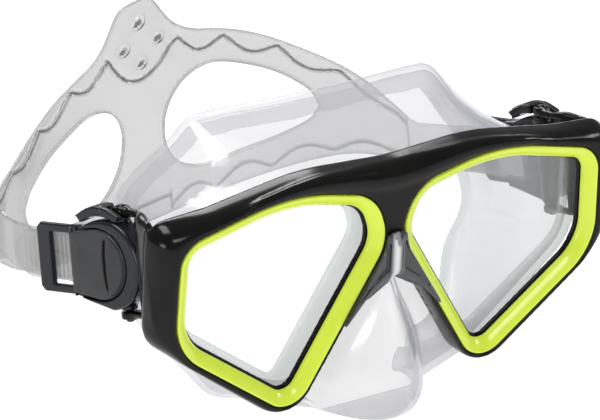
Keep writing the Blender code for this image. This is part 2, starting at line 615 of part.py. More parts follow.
def band_line():
    """Stations along the split strap: centre, arc length from the web, upward direction, outward normal."""
    plan, z_left, z_right = band_plan()
    lengths = [0.0]
    for before, after in zip(plan, plan[1:]):
        lengths.append(lengths[-1] + (after - before).length)
    middle = min(range(len(plan)), key=lambda i: abs(plan[i].x - BACK_CENTRE[0]) if plan[i].y > 100.0 else 1e9)
    stations = []
    for i, point in enumerate(plan):
        s = lengths[i] - lengths[middle]
        reach = lengths[middle] if s < 0.0 else lengths[-1] - lengths[middle]
        end_z, label = (z_left, "left") if s < 0.0 else (z_right, "right")
        t = abs(s) / reach
        roll = BAND_ROLL * math.sin(math.pi * min(t * 1.05, 1.0)) * (1.0 if s > 0.0 else -1.0)
        z = BAND_CENTRE_Z + (end_z - BAND_CENTRE_Z) * smoothstep(t * 1.6 - 0.6) + roll
        before, after = plan[max(i - 1, 0)], plan[min(i + 1, len(plan) - 1)]
        along = (after - before).normalized()
        rise = Vector((0.0, 0.0, 1.0)).lerp(axes_at(label, FLARE[label])[1], smoothstep((t - 0.75) / 0.25))
        rise.normalize()
        out = Vector((-along.y, along.x, 0.0))
        stations.append((Vector((point.x, point.y, z)), s, rise, out.normalized()))
    return stations


def band_half(s):
    """Half height of the split strap; it narrows to the necks."""
    return END_HALF + 26.4 * smoothstep((100.0 - abs(s)) / 92.0) ** 0.75


def top_edge(s):
    """Height of the strap's upper edge: a pull tab, steep on the left and gentler on the right."""
    away = s - TAB_MIDDLE
    width, power = (10.0, 6.5) if away < 0.0 else (10.9, 4.3)
    shift = 1.4 * smoothstep((-s - 6.0) / 8.0) - 2.6 * smoothstep((s - 6.0) / 16.0)
    return (band_half(s) + TAB_RISE / (1.0 + (abs(away) / width) ** power)
            + shift * smoothstep((90.0 - abs(s)) / 40.0))


def band_solid(name, stations, tops, bottoms, thickness, look):
    rings = []
    for (centre, _, rise, out), top, bottom in zip(stations, tops, bottoms):
        rings.append([tuple(centre + rise * z + out * side * thickness / 2)
                      for side, z in ((1, bottom), (1, top), (-1, top), (-1, bottom))])
    return build(name, loft(rings), look)


def strap():
    """Split head strap: two bands, an upright web at the back and a rounded pull tab on top."""
    stations = band_line()
    tops = [top_edge(s) for _, s, _, _ in stations]
    bottoms = [-band_half(s) for _, s, _, _ in stations]
    band = band_solid("strap_band", stations, tops, bottoms, BAND_THICKNESS, SILICONE)
    for label, side in (("left", -1), ("right", 1)):
        between = [tuple((a + b) / 2 for a, b in zip(*pair)) for pair in zip(stations, stations[1:])]
        inside = [st for st in between if WEB_HALF < side * st[1] < HOLE_END]
        shares = [(side * st[1] - WEB_HALF) / (HOLE_END - WEB_HALF) for st in inside]
        halves = [max(HOLE_HALF * math.sin(math.pi * t ** 0.62) ** 0.75, 0.5) for t in shares]
        boolean(band, band_solid(f"strap_hole_{label}", inside, halves, [-h for h in halves], 12.0, None))


def main():
    for obj in list(bpy.data.objects):
        bpy.data.objects.remove(obj, do_unlink=True)
    main_frame()
    nose_clip()
    skirt()
    strap()
    for label, side in (("left", -1), ("right", 1)):
        lens_trim(label, side)
        lens(label, side)
        hinge_pin(label)
        buckle_housing(label)
        release_lever(label)
        lever_pin(label)
        strap_roller(label)
        squeeze_arm(label)
        strap_end(label)


main()
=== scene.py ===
import math

import bmesh
import bpy
import numpy as np
from mathutils import Matrix, Vector


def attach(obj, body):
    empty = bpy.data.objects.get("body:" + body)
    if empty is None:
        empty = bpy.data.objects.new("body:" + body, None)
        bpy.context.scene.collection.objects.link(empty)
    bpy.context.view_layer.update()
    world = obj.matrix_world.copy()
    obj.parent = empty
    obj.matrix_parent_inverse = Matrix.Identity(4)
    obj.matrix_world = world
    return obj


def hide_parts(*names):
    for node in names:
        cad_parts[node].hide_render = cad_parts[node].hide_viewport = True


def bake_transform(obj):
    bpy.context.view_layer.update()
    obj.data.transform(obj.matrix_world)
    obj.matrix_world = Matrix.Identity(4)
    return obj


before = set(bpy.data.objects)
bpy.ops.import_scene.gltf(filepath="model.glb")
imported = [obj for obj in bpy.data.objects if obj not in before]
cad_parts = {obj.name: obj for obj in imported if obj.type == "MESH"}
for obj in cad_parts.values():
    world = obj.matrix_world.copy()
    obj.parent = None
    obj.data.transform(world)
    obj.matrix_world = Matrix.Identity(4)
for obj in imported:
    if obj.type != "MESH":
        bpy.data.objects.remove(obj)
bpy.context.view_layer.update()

MM = 0.001
SEAL_DEPTH = 50.0          # depth of the origin
SIDES = {"left": -1.0, "right": 1.0}

# Mask front
GAP = 0.3
TRIM_WIDTH = 4.3
TRIM_REAR = 3.2
TRIM_SLOPE = 2.6
LEDGE_FRONT = 3.5
LEDGE_REAR = 4.7
LENS_FRONT = 5.0
LENS_THICKNESS = 3.2
LENS_INSET = 1.8
FRAME_FRONT = -0.6
FRAME_REAR = 9.7
BROW_DEPTH = 1.35          # the brow bead reaches this far in front of depth 0
FRAME_STEP = 0.62          # grid step of the frame and voxel of the skirt
CLIP_FRONT = -3.0
CLIP_REAR = -1.25
SKIRT_FRONT = 9.9
SKIRT_WALL = 1.5
SEAL_FLANGE = 8.0

# Buckles
FLARE = {"left": 19.0, "right": -7.0}
PITCH = 14.0
LEAN = 6.5
BUCKLE_X = 80.1
BUCKLE_DEPTH = 18.2
BUCKLE_Z = 0.2
HINGE_U = 9.5
HINGE_N = -4.6
HINGE_PIN_R = 1.2
PIN_FIT = 0.12
LEVER_PIN_FIT = 0.14
ROLLER_HOLE_R = 0.66
SWING_ROOM = 12.0
KNUCKLE_R = 2.7
KNUCKLE_IN = 14.8
KNUCKLE_OUT = 17.6
RING_U = 13.0
RING_R = 14.2
SHOULDER_R = 13.9
ARM_ROOT = 2.6             # the squeeze arm's thickness over the ring at its root
ARM_SWELL = 1.5
ARM_TAPER = 1.0            # how far its inside leaves the ring towards the free end
PAD_RIB = 0.22
PAD_RIB_PITCH = 1.5
BODY_IN = -6.8
BODY_FLOOR = -0.6
BODY_RIM = 1.5
PLATE_U = 15.4
PLATE_R = 11.0
PLATE_REAR_U = 26.6
PLATE_REAR_HALF = 9.3
PLATE_IN = -0.25
PLATE_OUT = 1.6
SLOT_REAR_U = 36.6
WELL_FRONT_U = 16.4
WELL_HALF = 8.3
BRACKET_END_U = 42.0
BRACKET_HALF = 10.9
BRACKET_N = (-3.1, -0.8)
LEVER_PIN_U = 25.9
LEVER_PIN_N = 0.65
LEVER_PIN_R = 0.45
ROLLER_U = 20.6
ROLLER_N = -3.7
ROLLER_R = 1.2

# Strap
END_THICKNESS = 1.6
END_HALF = 7.6
RIB_HEIGHT = 0.34
RIB_PITCH = 2.1
NECK_END_U = 64.0
NECK_END_N = {"left": -12.4, "right": -8.6}
TAIL_END_U = 55.0
BAND_CENTRE_Z = -20.0
BACK_CENTRE = (-10.0, 50.0)
BACK_RADII = (87.0, 85.0)
BAND_ROLL = 8.0
TAB_RISE = 16.0
TAB_MIDDLE = -3.0
FLOOR_Z = -65.5
NECK_START = 96.0          # arc length from the web at which a neck piece takes over from the band

LENS_CORNERS = [
    (7.6, 16.1, 14.5), (38.0, 23.3, 60.0), (76.8, 13.7, 9.9),
    (78.0, -20.8, 20.6), (34.4, -53.3, 9.2), (2.3, 0.0, 15.1)]
FRAME_FACE = [
    (0.0, 18.2, 30.0), (36.0, 24.2, 50.0), (62.0, 18.9, 60.0), (78.2, 14.9, 9.5),
    (79.0, -2.0, 60.0), (79.8, -21.4, 20.0), (34.5, -55.0, 10.0), (0.0, 1.2, 3.0)]
FRAME_EDGE = [
    (0.0, 24.8, 60.0), (32.0, 26.7, 80.0), (64.0, 21.4, 60.0), (84.4, 20.0, 7.0),
    (85.0, 1.0, 80.0), (84.6, -18.6, 10.0), (34.6, -57.4, 12.0), (0.0, 0.6, 4.0)]
SKIRT_FACE = [
    (0.0, 20.5, 40.0, 9.9), (36.0, 22.8, 60.0, 9.9), (77.0, 13.0, 10.0, 9.9),
    (78.0, -20.5, 20.0, 9.9), (40.0, -52.0, 12.0, 9.9), (18.0, -60.0, 10.0, 9.9), (0.0, -61.0, 20.0, 9.9)]
SKIRT_MID = [
    (0.0, 24.5, 40.0, 28.0), (38.0, 25.5, 30.0, 28.0), (70.3, 10.0, 16.0, 24.0),
    (70.3, -24.0, 24.0, 24.0), (42.0, -57.0, 16.0, 23.0), (20.0, -60.0, 12.0, 17.0), (0.0, -57.0, 20.0, 14.5)]
SKIRT_CREST = [
    (0.0, 31.0, 60.0, 46.0), (45.0, 30.0, 9.0, 49.0), (70.0, 1.0, 22.0, 55.0),
    (67.0, -30.0, 28.0, 47.0), (42.0, -63.0, 16.0, 34.0), (22.0, -62.0, 12.0, 22.0), (0.0, -55.0, 20.0, 17.5)]
NOSE_SLICES = [
    (-13.6, 2.9, 4.6), (-17.0, -0.6, 6.6), (-25.0, -2.6, 10.4), (-32.0, -4.4, 14.2), (-38.5, -5.9, 17.2),
    (-44.5, -7.4, 19.4), (-50.0, -8.7, 20.8), (-55.5, -9.4, 21.2), (-60.0, -6.4, 19.0), (-62.5, 1.0, 13.0)]
NOSE_FULLNESS = 2.1
# Half outline of each gap between the strap's two bands: distance from the web's centre, half height
GAP_LINE = [(7.8, 0.0), (8.3, 4.5), (10.2, 9.5), (14.0, 14.2), (19.5, 16.9), (26.0, 17.2), (35.0, 14.8),
            (44.0, 12.0), (51.5, 8.6), (57.5, 4.8), (60.5, 0.0)]
WEB_SHIFT = 2.2            # the web lies this far to the right of the pull tab's middle
# Arc lengths at which the raised line comes closest to the strap's edge
SCALLOP_TIPS = [13.5, 29.5, 48.0, 69.0, 92.0, 116.0]
SCALLOP_DEPTH = 4.6
MARGIN_HALF = 0.55         # half thickness outside the line
BODY_STEP = 0.40           # how much further each face stands out inside the line
GROOVE_DEPTH = 0.4
RIM_BEAD = 0.22
CUP_HEIGHT = 20.5          # lowest point of the line below the pull tab
# Domes on the pull tab: arc length and height on the strap, radius
TAB_DOMES = [(-1.9, 42.4, 2.9), (6.0, 33.7, 2.4), (-6.9, 34.6, 2.4), (0.1, 27.0, 2.4)]


# ---------------------------------------------------------------- outlines and axes

def smoothstep(t):
    t = np.clip(t, 0.0, 1.0)
    return t * t * (3.0 - 2.0 * t)


def bell(value, middle, width):
    return np.exp(-((value - middle) / width)**2)


def rounded(corners, arc=12, straight=4):
    """Closed outline with a fillet at each corner (x, z, radius[, depth]) as (x, z, depth) points."""
    count = len(corners)
    arcs = []
    for i, corner in enumerate(corners):
        here = Vector(corner[:2])
        back = (Vector(corners[i - 1][:2]) - here).normalized()
        ahead = (Vector(corners[(i + 1) % count][:2]) - here).normalized()
        half = 0.5 * back.angle(ahead)
        reach = corner[2] / max(math.tan(half), 1e-6)
        centre = here + (back + ahead).normalized() * (corner[2] / max(math.sin(half), 1e-6))
        start = here + back * reach - centre
        turn = math.pi - 2.0 * half
        if back.x * ahead.y - back.y * ahead.x > 0.0:
            turn = -turn
        depth = corner[3] if len(corner) > 3 else 0.0
        points = []
        for k in range(arc + 1):
            angle = turn * k / arc
            x = centre.x + start.x * math.cos(angle) - start.y * math.sin(angle)
            z = centre.y + start.x * math.sin(angle) + start.y * math.cos(angle)
            points.append((x, z, depth))
        arcs.append(points)
    outline = []
    for i in range(count):
        outline.extend(arcs[i])
        last, following = arcs[i][-1], arcs[(i + 1) % count][0]
        for k in range(1, straight + 1):
            t = k / (straight + 1)
            depth = last[2] + (following[2] - last[2]) * smoothstep(t)
            x, z = (last[c] + (following[c] - last[c]) * t for c in (0, 1))
            outline.append((x, z, depth))
    return outline


def offset(corners, distance):
    """Move every edge of a clockwise outline outwards; fillets grow with it."""
    count = len(corners)
    lines = []
    for i in range(count):
        start = Vector(corners[i][:2])
        along = (Vector(corners[(i + 1) % count][:2]) - start).normalized()
        lines.append((start + Vector((-along.y, along.x)) * distance, along))
    moved = []
    for i in range(count):
        (p, d), (q, e) = lines[i - 1], lines[i]
        cross = d.x * e.y - d.y * e.x
        t = ((q.x - p.x) * e.y - (q.y - p.y) * e.x) / cross
        radius = corners[i][2] + (distance if cross < 0.0 else -distance)
        moved.append((p.x + d.x * t, p.y + d.y * t, max(radius, 0.3), *corners[i][3:]))
    return moved


def whole(half):
    """Full clockwise outline from a half outline whose first and last corners lie on x = 0."""
    return half + [(-corner[0], *corner[1:]) for corner in reversed(half[1:-1])]


def section(corners, deeper=0.0):
    return np.array([(x, depth + deeper, z) for x, z, depth in rounded(corners)])


def lens_ring(inset, depth, side, arc=16):
    points = rounded(offset(LENS_CORNERS, -inset), arc, 6)
    return np.array([(side * x, depth, z) for x, z, _ in points])


def axes_at(label, flare_degrees):
    """Rearward, upward and outward unit vectors of a buckle that flares by the given angle."""
    side = SIDES[label]
    flare, pitch, lean = (math.radians(a) for a in (FLARE["left"], PITCH, LEAN))
    up = Vector((0.0, 0.0, 1.0))
    level = Vector((side * math.sin(flare), math.cos(flare), 0.0))
    out = Vector((side * math.cos(flare), -math.sin(flare), 0.0))
    rear = level * math.cos(pitch) - up * math.sin(pitch)
    rise = level * math.sin(pitch) + up * math.cos(pitch)
    hinge_up = rise * math.cos(lean) - out * math.sin(lean)
    out = rise * math.sin(lean) + out * math.cos(lean)
    swing = Matrix.Rotation(side * math.radians(FLARE["left"] - flare_degrees), 3, hinge_up)
    return swing @ rear, hinge_up, swing @ out


def hinge_centre(label):
    rear, _, out = axes_at(label, FLARE["left"])
    side = SIDES[label]
    return Vector((side * BUCKLE_X, BUCKLE_DEPTH, BUCKLE_Z)) + rear * HINGE_U + out * HINGE_N


def buckle_to_mask(label, points):
    """(u, w, n) rows of a buckle at rest to mask millimetres."""
    turn = np.array([list(v) for v in axes_at(label, FLARE[label])])
    return (np.asarray(points, float) - (HINGE_U, 0.0, HINGE_N)) @ turn + np.array(hinge_centre(label))


def arc_points(centre_u, radius, start, end, segments=40):
    angles = [math.radians(start + (end - start) * k / segments) for k in range(segments + 1)]
    return [(centre_u + radius * math.cos(a), radius * math.sin(a)) for a in angles]


def spline(knots, steps):
    """Catmull-Rom curve through rows of any shape."""
    rows = [np.asarray(k, float) for k in knots]
    rows = [rows[0] * 2 - rows[1]] + rows + [rows[-1] * 2 - rows[-2]]
    points = []
    for i in range(1, len(rows) - 2):
        a, b, c, d = rows[i - 1:i + 3]
        for k in range(steps):
            t = k / steps
            points.append(0.5 * (2 * b + (c - a) * t + (2 * a - 5 * b + 4 * c - d) * t**2
                                 + (3 * b - a - 3 * c + d) * t**3))
    return points + [rows[-2]]


# ---------------------------------------------------------------- shape fields

def outline_distance(x, z, outline):
    """Signed distance from grid points to a closed outline, negative inside."""
    points = np.asarray(outline, float)[:, :2]
    best = np.full(x.shape, 1e9)
    inside = np.zeros(x.shape, bool)
    for a, b in zip(points, np.roll(points, -1, axis=0)):
        ex, ez = b - a
        length = ex * ex + ez * ez
        if length < 1e-12:
            continue
        px, pz = x - a[0], z - a[1]
        t = np.clip((px * ex + pz * ez) / length, 0.0, 1.0)
        best = np.minimum(best, (px - ex * t)**2 + (pz - ez * t)**2)
        if abs(ez) > 1e-12:
            inside ^= ((a[1] > z) != (b[1] > z)) & (px < pz * ex / ez)
    return np.where(inside, -1.0, 1.0) * np.sqrt(best)


def prism(fu, fw, outline):
    """Distance to an outline stretched along the third grid direction."""
    return outline_distance(fu, fw, outline)[:, :, None]


def join(a, b, k):
    """Union of two fields with a fillet of about k."""
    h = np.clip(0.5 + 0.5 * (b - a) / k, 0.0, 1.0)
    return b * (1.0 - h) + a * h - k * h * (1.0 - h)


def meet(a, b, k):
    """Overlap of two fields with a rounded edge of about k."""
    return -join(-a, -b, k)


def carve(a, b, k):
    """a without b, with a rounded edge."""
    return meet(a, -b, k)


def slab(n, low, high):
    """Distance to the layer between two heights."""
    return np.maximum(low - n, n - high)


def grid(low, high, step):
    axes = [np.arange(lo, hi + s, s) for lo, hi, s in zip(low, high, step)]
    return np.meshgrid(*axes, indexing="ij"), np.array([a[0] for a in axes]), np.array(step)


def net(field, low, step):
    """Closed quad mesh of a field's zero level, as vertex rows and quads."""
    inside = field < 0.0
    cells = [n - 1 for n in field.shape]
    counts = np.zeros(cells, np.int8)
    for i, j, k in np.ndindex(2, 2, 2):
        counts += inside[i:i + cells[0], j:j + cells[1], k:k + cells[2]]
    mixed = (counts > 0) & (counts < 8)
    where = np.argwhere(mixed)
    index = np.full(cells, -1, int)
    index[mixed] = np.arange(len(where))
    total, hits = np.zeros((len(where), 3)), np.zeros((len(where), 1))
    unit = np.eye(3, dtype=int)
    for axis in range(3):
        first, second = unit[(axis + 1) % 3], unit[(axis + 2) % 3]
        for move in (0 * first, first, second, first + second):
            start = where + move
            end = start + unit[axis]
            a, b = field[tuple(start.T)], field[tuple(end.T)]
            cross = (a < 0.0) != (b < 0.0)
            point = start.astype(float)
            point[:, axis] += np.where(cross, a / np.where(cross, a - b, 1.0), 0.0)
            total[cross] += point[cross]
            hits[cross] += 1.0
    verts = total / hits * step + low
    faces = []
    for axis in range(3):
        first, second = unit[(axis + 1) % 3], unit[(axis + 2) % 3]
        ahead = np.moveaxis(inside, axis, 0)
        change = np.moveaxis(ahead[:-1] != ahead[1:], 0, axis)
        edge = np.argwhere(change)
        edge = edge[np.all((edge > 0) | (unit[axis] > 0), axis=1)]
        around = (0 * first, first, first + second, second)
        quad = np.stack([index[tuple((edge - move).T)] for move in around], axis=1)
        back = ~inside[tuple(edge.T)]
        quad[back] = quad[back][:, ::-1]
        faces.append(quad)
    faces = np.concatenate(faces)
    return verts, faces[np.all(faces >= 0, axis=1)]


def relax(verts, faces, rounds, amount=0.5):
    """Even out a quad mesh by moving each vertex towards the mean of its neighbours and partly back."""
    pairs = np.concatenate([faces[:, [i, (i + 1) % 4]] for i in range(4)])
    pairs = np.concatenate([pairs, pairs[:, ::-1]])
    degree = np.bincount(pairs[:, 0], minlength=len(verts))[:, None]
    for _ in range(rounds):
        for share in (amount, -amount * 1.03):
            mean = np.stack([np.bincount(pairs[:, 0], weights=verts[pairs[:, 1], c], minlength=len(verts))
                             for c in range(3)], axis=1) / degree
            verts = verts + (mean - verts) * share
    return verts


# ---------------------------------------------------------------- making pieces

def to_world(points):
    return (np.asarray(points, float) - (0.0, SEAL_DEPTH, 0.0)) * MM


def new_object(name, data):
    obj = bpy.data.objects.new(name, data)
    bpy.context.scene.collection.objects.link(obj)
    return obj


def finish_piece(obj, look, body, nodes, sharp=None):
    """Give a new object its material and body, and let it stand for CAD nodes."""
    obj.data.materials.clear()
    obj.data.materials.append(look)
    obj.data.shade_smooth()
    if sharp:
        obj.data.set_sharp_from_angle(angle=math.radians(sharp))
    if nodes:
        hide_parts(*nodes)
    if body:
        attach(obj, body)
    return obj


def mesh_object(name, verts, faces):
    """Object from mask-millimetre vertices; faces end up pointing outwards."""
    mesh = bpy.data.meshes.new(name)
    mesh.from_pydata(to_world(verts).tolist(), [], [list(map(int, f)) for f in faces])
    bm = bmesh.new()
    bm.from_mesh(mesh)
    bmesh.ops.recalc_face_normals(bm, faces=bm.faces)
    bm.to_mesh(mesh)
    bm.free()
    return new_object(name, mesh)


def skin(rings, capped=True, looped=False):
    """Vertices and faces of a skin over closed rings of equal length."""
    verts = np.concatenate([np.asarray(r, float) for r in rings])
    count, rows = len(rings[0]), len(rings)
    faces = []
    for r in range(rows if looped else rows - 1):
        a, b = r * count, (r + 1) % rows * count
        for i in range(count):
            j = (i + 1) % count
            faces.append((a + i, a + j, b + j, b + i))
    if capped and not looped:
        faces.append(tuple(range(count)))
        faces.append(tuple(reversed(range((rows - 1) * count, rows * count))))
    return verts, faces


def boolean(obj, cutter, operation="DIFFERENCE"):
    modifier = obj.modifiers.new(cutter.name, "BOOLEAN")
    modifier.operation = operation
    modifier.solver = "EXACT"
    modifier.object = cutter


def bake_modifiers(obj, helpers=()):
    """Turn an object's modifiers into its mesh and drop the helper objects."""
    bpy.context.view_layer.update()
    graph = bpy.context.evaluated_depsgraph_get()
    made = bpy.data.meshes.new_from_object(obj.evaluated_get(graph))
    obj.modifiers.clear()
    obj.data = made
    for helper in helpers:
        bpy.data.objects.remove(helper, do_unlink=True)


# ---------------------------------------------------------------- materials

def new_material(name):
    mat = bpy.data.materials.new(name)
    mat.use_nodes = True
    tree = mat.node_tree
    return mat, tree, tree.nodes["Principled BSDF"], tree.nodes["Material Output"]


def fill(tree, node, inputs):
    """Set a node's sockets: a socket is linked, three numbers are a colour, anything else is a value."""
    for key, value in inputs.items():
        if isinstance(value, bpy.types.NodeSocket):
            tree.links.new(value, node.inputs[key])
        else:
            node.inputs[key].default_value = (*value, 1.0) if isinstance(value, tuple) else value


def add(tree, kind, inputs=None, **settings):
    node = tree.nodes.new("ShaderNode" + kind)
    for name, value in settings.items():
        setattr(node, name, value)
    fill(tree, node, inputs or {})
    return node


def noise(tree, scale, detail=3.0, roughness=0.55):
    coords = add(tree, "TexCoord").outputs["Object"]
    return add(tree, "TexNoise", {"Vector": coords, "Scale": scale, "Detail": detail,
                                  "Roughness": roughness}).outputs["Fac"]


def ramp(tree, source, low, high, start=0.35, end=0.65):
    """Map a value between start and end to the range from low to high; the defaults suit a noise."""
    return add(tree, "MapRange", {"Value": source, "From Min": start, "From Max": end,
                                  "To Min": low, "To Max": high}).outputs["Result"]


def colour_between(tree, share, first, second):
    return add(tree, "Mix", {0: share, 6: first, 7: second}, data_type="RGBA").outputs[2]


def calc(tree, operation, first, second=0.0):
    return add(tree, "Math", {0: first, 1: second}, operation=operation).outputs[0]


def edge_on(tree, power):
    """0 where a surface is seen face on, 1 where it is seen edge on."""
    weight = add(tree, "LayerWeight", {"Blend": 0.5})
    return calc(tree, "POWER", weight.outputs["Facing"], power)


def reflectance(tree, face_on):
    """Share of light reflected, growing towards grazing angles, the same from both sides of a surface."""
    return ramp(tree, edge_on(tree, 5.0), face_on, 0.9, 0.0, 1.0)


def fine_grain(tree, scale, strength):
    return add(tree, "Bump", {"Height": noise(tree, scale, 4.0), "Strength": strength,
                              "Distance": 0.1 * MM}).outputs["Normal"]


def mix_shaders(tree, share, first, second):
    return add(tree, "MixShader", {0: share, 1: first.outputs[0], 2: second.outputs[0]})


def moulded_plastic(name, dark, light, rough, rough_spread, specular, bump, coat=0.0, metallic=0.0):
    """Hard moulded plastic or metal: slight mottling, patches of handling wear and a fine surface grain."""
    mat, tree, shader, _ = new_material(name)
    mottle = ramp(tree, noise(tree, 70.0, 4.0), 0.0, 1.0)
    worn = noise(tree, 260.0, 6.0, 0.7)
    fill(tree, shader, {
        "Base Color": colour_between(tree, mottle, dark, light),
        "Roughness": ramp(tree, worn, rough - rough_spread, rough + rough_spread),
        "Metallic": metallic, "Specular IOR Level": specular,
        "Coat Weight": coat, "Coat Roughness": 0.08, "Normal": fine_grain(tree, 2600.0, bump)})
    return mat


def matte_front(mat, glossy, matte):
    """Faces that look straight ahead are matte, the rounded ones around them stay glossy."""
    tree = mat.node_tree
    normal = add(tree, "NewGeometry").outputs["Normal"]
    ahead = ramp(tree, add(tree, "SeparateXYZ", {0: normal}).outputs["Y"], 1.0, 0.0, -0.99, -0.90)
    worn = ramp(tree, noise(tree, 260.0, 6.0, 0.7), 0.9, 1.1)
    rough = calc(tree, "MULTIPLY", ramp(tree, ahead, glossy, matte, 0.0, 1.0), worn)
    fill(tree, tree.nodes["Principled BSDF"], {"Roughness": rough})


def painted_spine_highlight(mat, metal):
    """Painted highlight: a bright metallic stripe along the middle of a piece, put where the spine's
    highlight falls.
    """
    tree = mat.node_tree
    across = add(tree, "SeparateXYZ", {0: add(tree, "TexCoord").outputs["Object"]}).outputs["X"]
    away = calc(tree, "ABSOLUTE", calc(tree, "ADD", across, 0.9 * MM))
    # the stripe's base colour and metallic paint the spine's highlight
    stripe = ramp(tree, away, 1.0, 0.0, 0.4 * MM, 1.6 * MM)
    shader = tree.nodes["Principled BSDF"]
    plain = shader.inputs["Base Color"].links[0].from_socket
    fill(tree, shader, {"Base Color": colour_between(tree, stripe, plain, metal),
                        "Metallic": ramp(tree, stripe, 0.0, 0.8, 0.0, 1.0)})


def clear_silicone(name, body, edge, face_on, grazing, rough):
    """Clear moulded silicone: see-through face on, denser and tinted where seen edge on and where a vertex
    attribute paints shade and highlight into it.
    """
    mat, tree, shader, output = new_material(name)
    # painted shade and highlight from the strap's vertex attribute; pieces without it read zero
    painted_shading = add(tree, "Attribute", attribute_name="painted_shading").outputs["Fac"]
    dark = calc(tree, "ADD", edge_on(tree, 3.0), painted_shading)
    fill(tree, shader, {
        "Base Color": colour_between(tree, dark, body, edge),
        "Roughness": ramp(tree, noise(tree, 45.0), rough - 0.05, rough + 0.07),
        "IOR": 1.41, "Specular IOR Level": 0.5, "Normal": fine_grain(tree, 900.0, 0.12)})
    through = add(tree, "BsdfTransparent", {"Color": (0.985, 0.985, 0.99)})
    gloss = add(tree, "BsdfGlossy", {"Roughness": 0.1})
    tinted = mix_shaders(tree, ramp(tree, dark, face_on, grazing, 0.0, 1.0), through, shader)
    final = mix_shaders(tree, reflectance(tree, 0.025), tinted, gloss)
    fill(tree, output, {"Surface": final.outputs[0]})
    return mat


def lens_glass(name):
    """Flat tempered glass: clear, with a reflection that grows towards grazing angles and faint smears."""
    mat, tree, shader, output = new_material(name)
    tree.nodes.remove(shader)
    through = add(tree, "BsdfTransparent", {"Color": (0.965, 0.98, 0.975)})
    gloss = add(tree, "BsdfGlossy", {"Roughness": ramp(tree, noise(tree, 60.0, 5.0), 0.01, 0.06)})
    final = mix_shaders(tree, reflectance(tree, 0.03), through, gloss)
    fill(tree, output, {"Surface": final.outputs[0]})
    return mat


BLACK = moulded_plastic(
    "frame_black_gloss", (0.0028, 0.0028, 0.0026), (0.005, 0.005, 0.0045), 0.17, 0.04, 0.22, 0.02)
GREEN = moulded_plastic(
    "trim_green_gloss", (0.71, 0.88, 0.060), (0.74, 0.90, 0.075), 0.24, 0.02, 0.4, 0.02, 0.2)
CLIP = moulded_plastic(
    "clip_grey_gloss", (0.016, 0.018, 0.022), (0.028, 0.031, 0.036), 0.16, 0.04, 0.5, 0.03, 0.5)
BUCKLE = moulded_plastic(
    "buckle_grey_gloss", (0.007, 0.008, 0.0105), (0.012, 0.014, 0.018), 0.20, 0.05, 0.36, 0.04)
LEVER = moulded_plastic(
    "lever_grey_satin", (0.034, 0.035, 0.037), (0.043, 0.044, 0.046), 0.42, 0.05, 0.3, 0.12)
STEEL = moulded_plastic(
    "pin_steel_dark", (0.035, 0.036, 0.040), (0.060, 0.061, 0.066), 0.30, 0.08, 0.5, 0.10, 0.0, 1.0)
matte_front(BLACK, 0.17, 0.45)
# painted highlight: bright stripe down the clip's spine
painted_spine_highlight(CLIP, (0.62, 0.63, 0.64))
GLASS = lens_glass("lens_glass_clear")
SKIRT = clear_silicone("skirt_silicone", (0.60, 0.60, 0.605), (0.45, 0.46, 0.62), 0.23, 0.88, 0.16)
STRAP = clear_silicone("strap_silicone", (0.46, 0.46, 0.45), (0.12, 0.12, 0.125), 0.36, 1.0, 0.18)


# ---------------------------------------------------------------- mask front

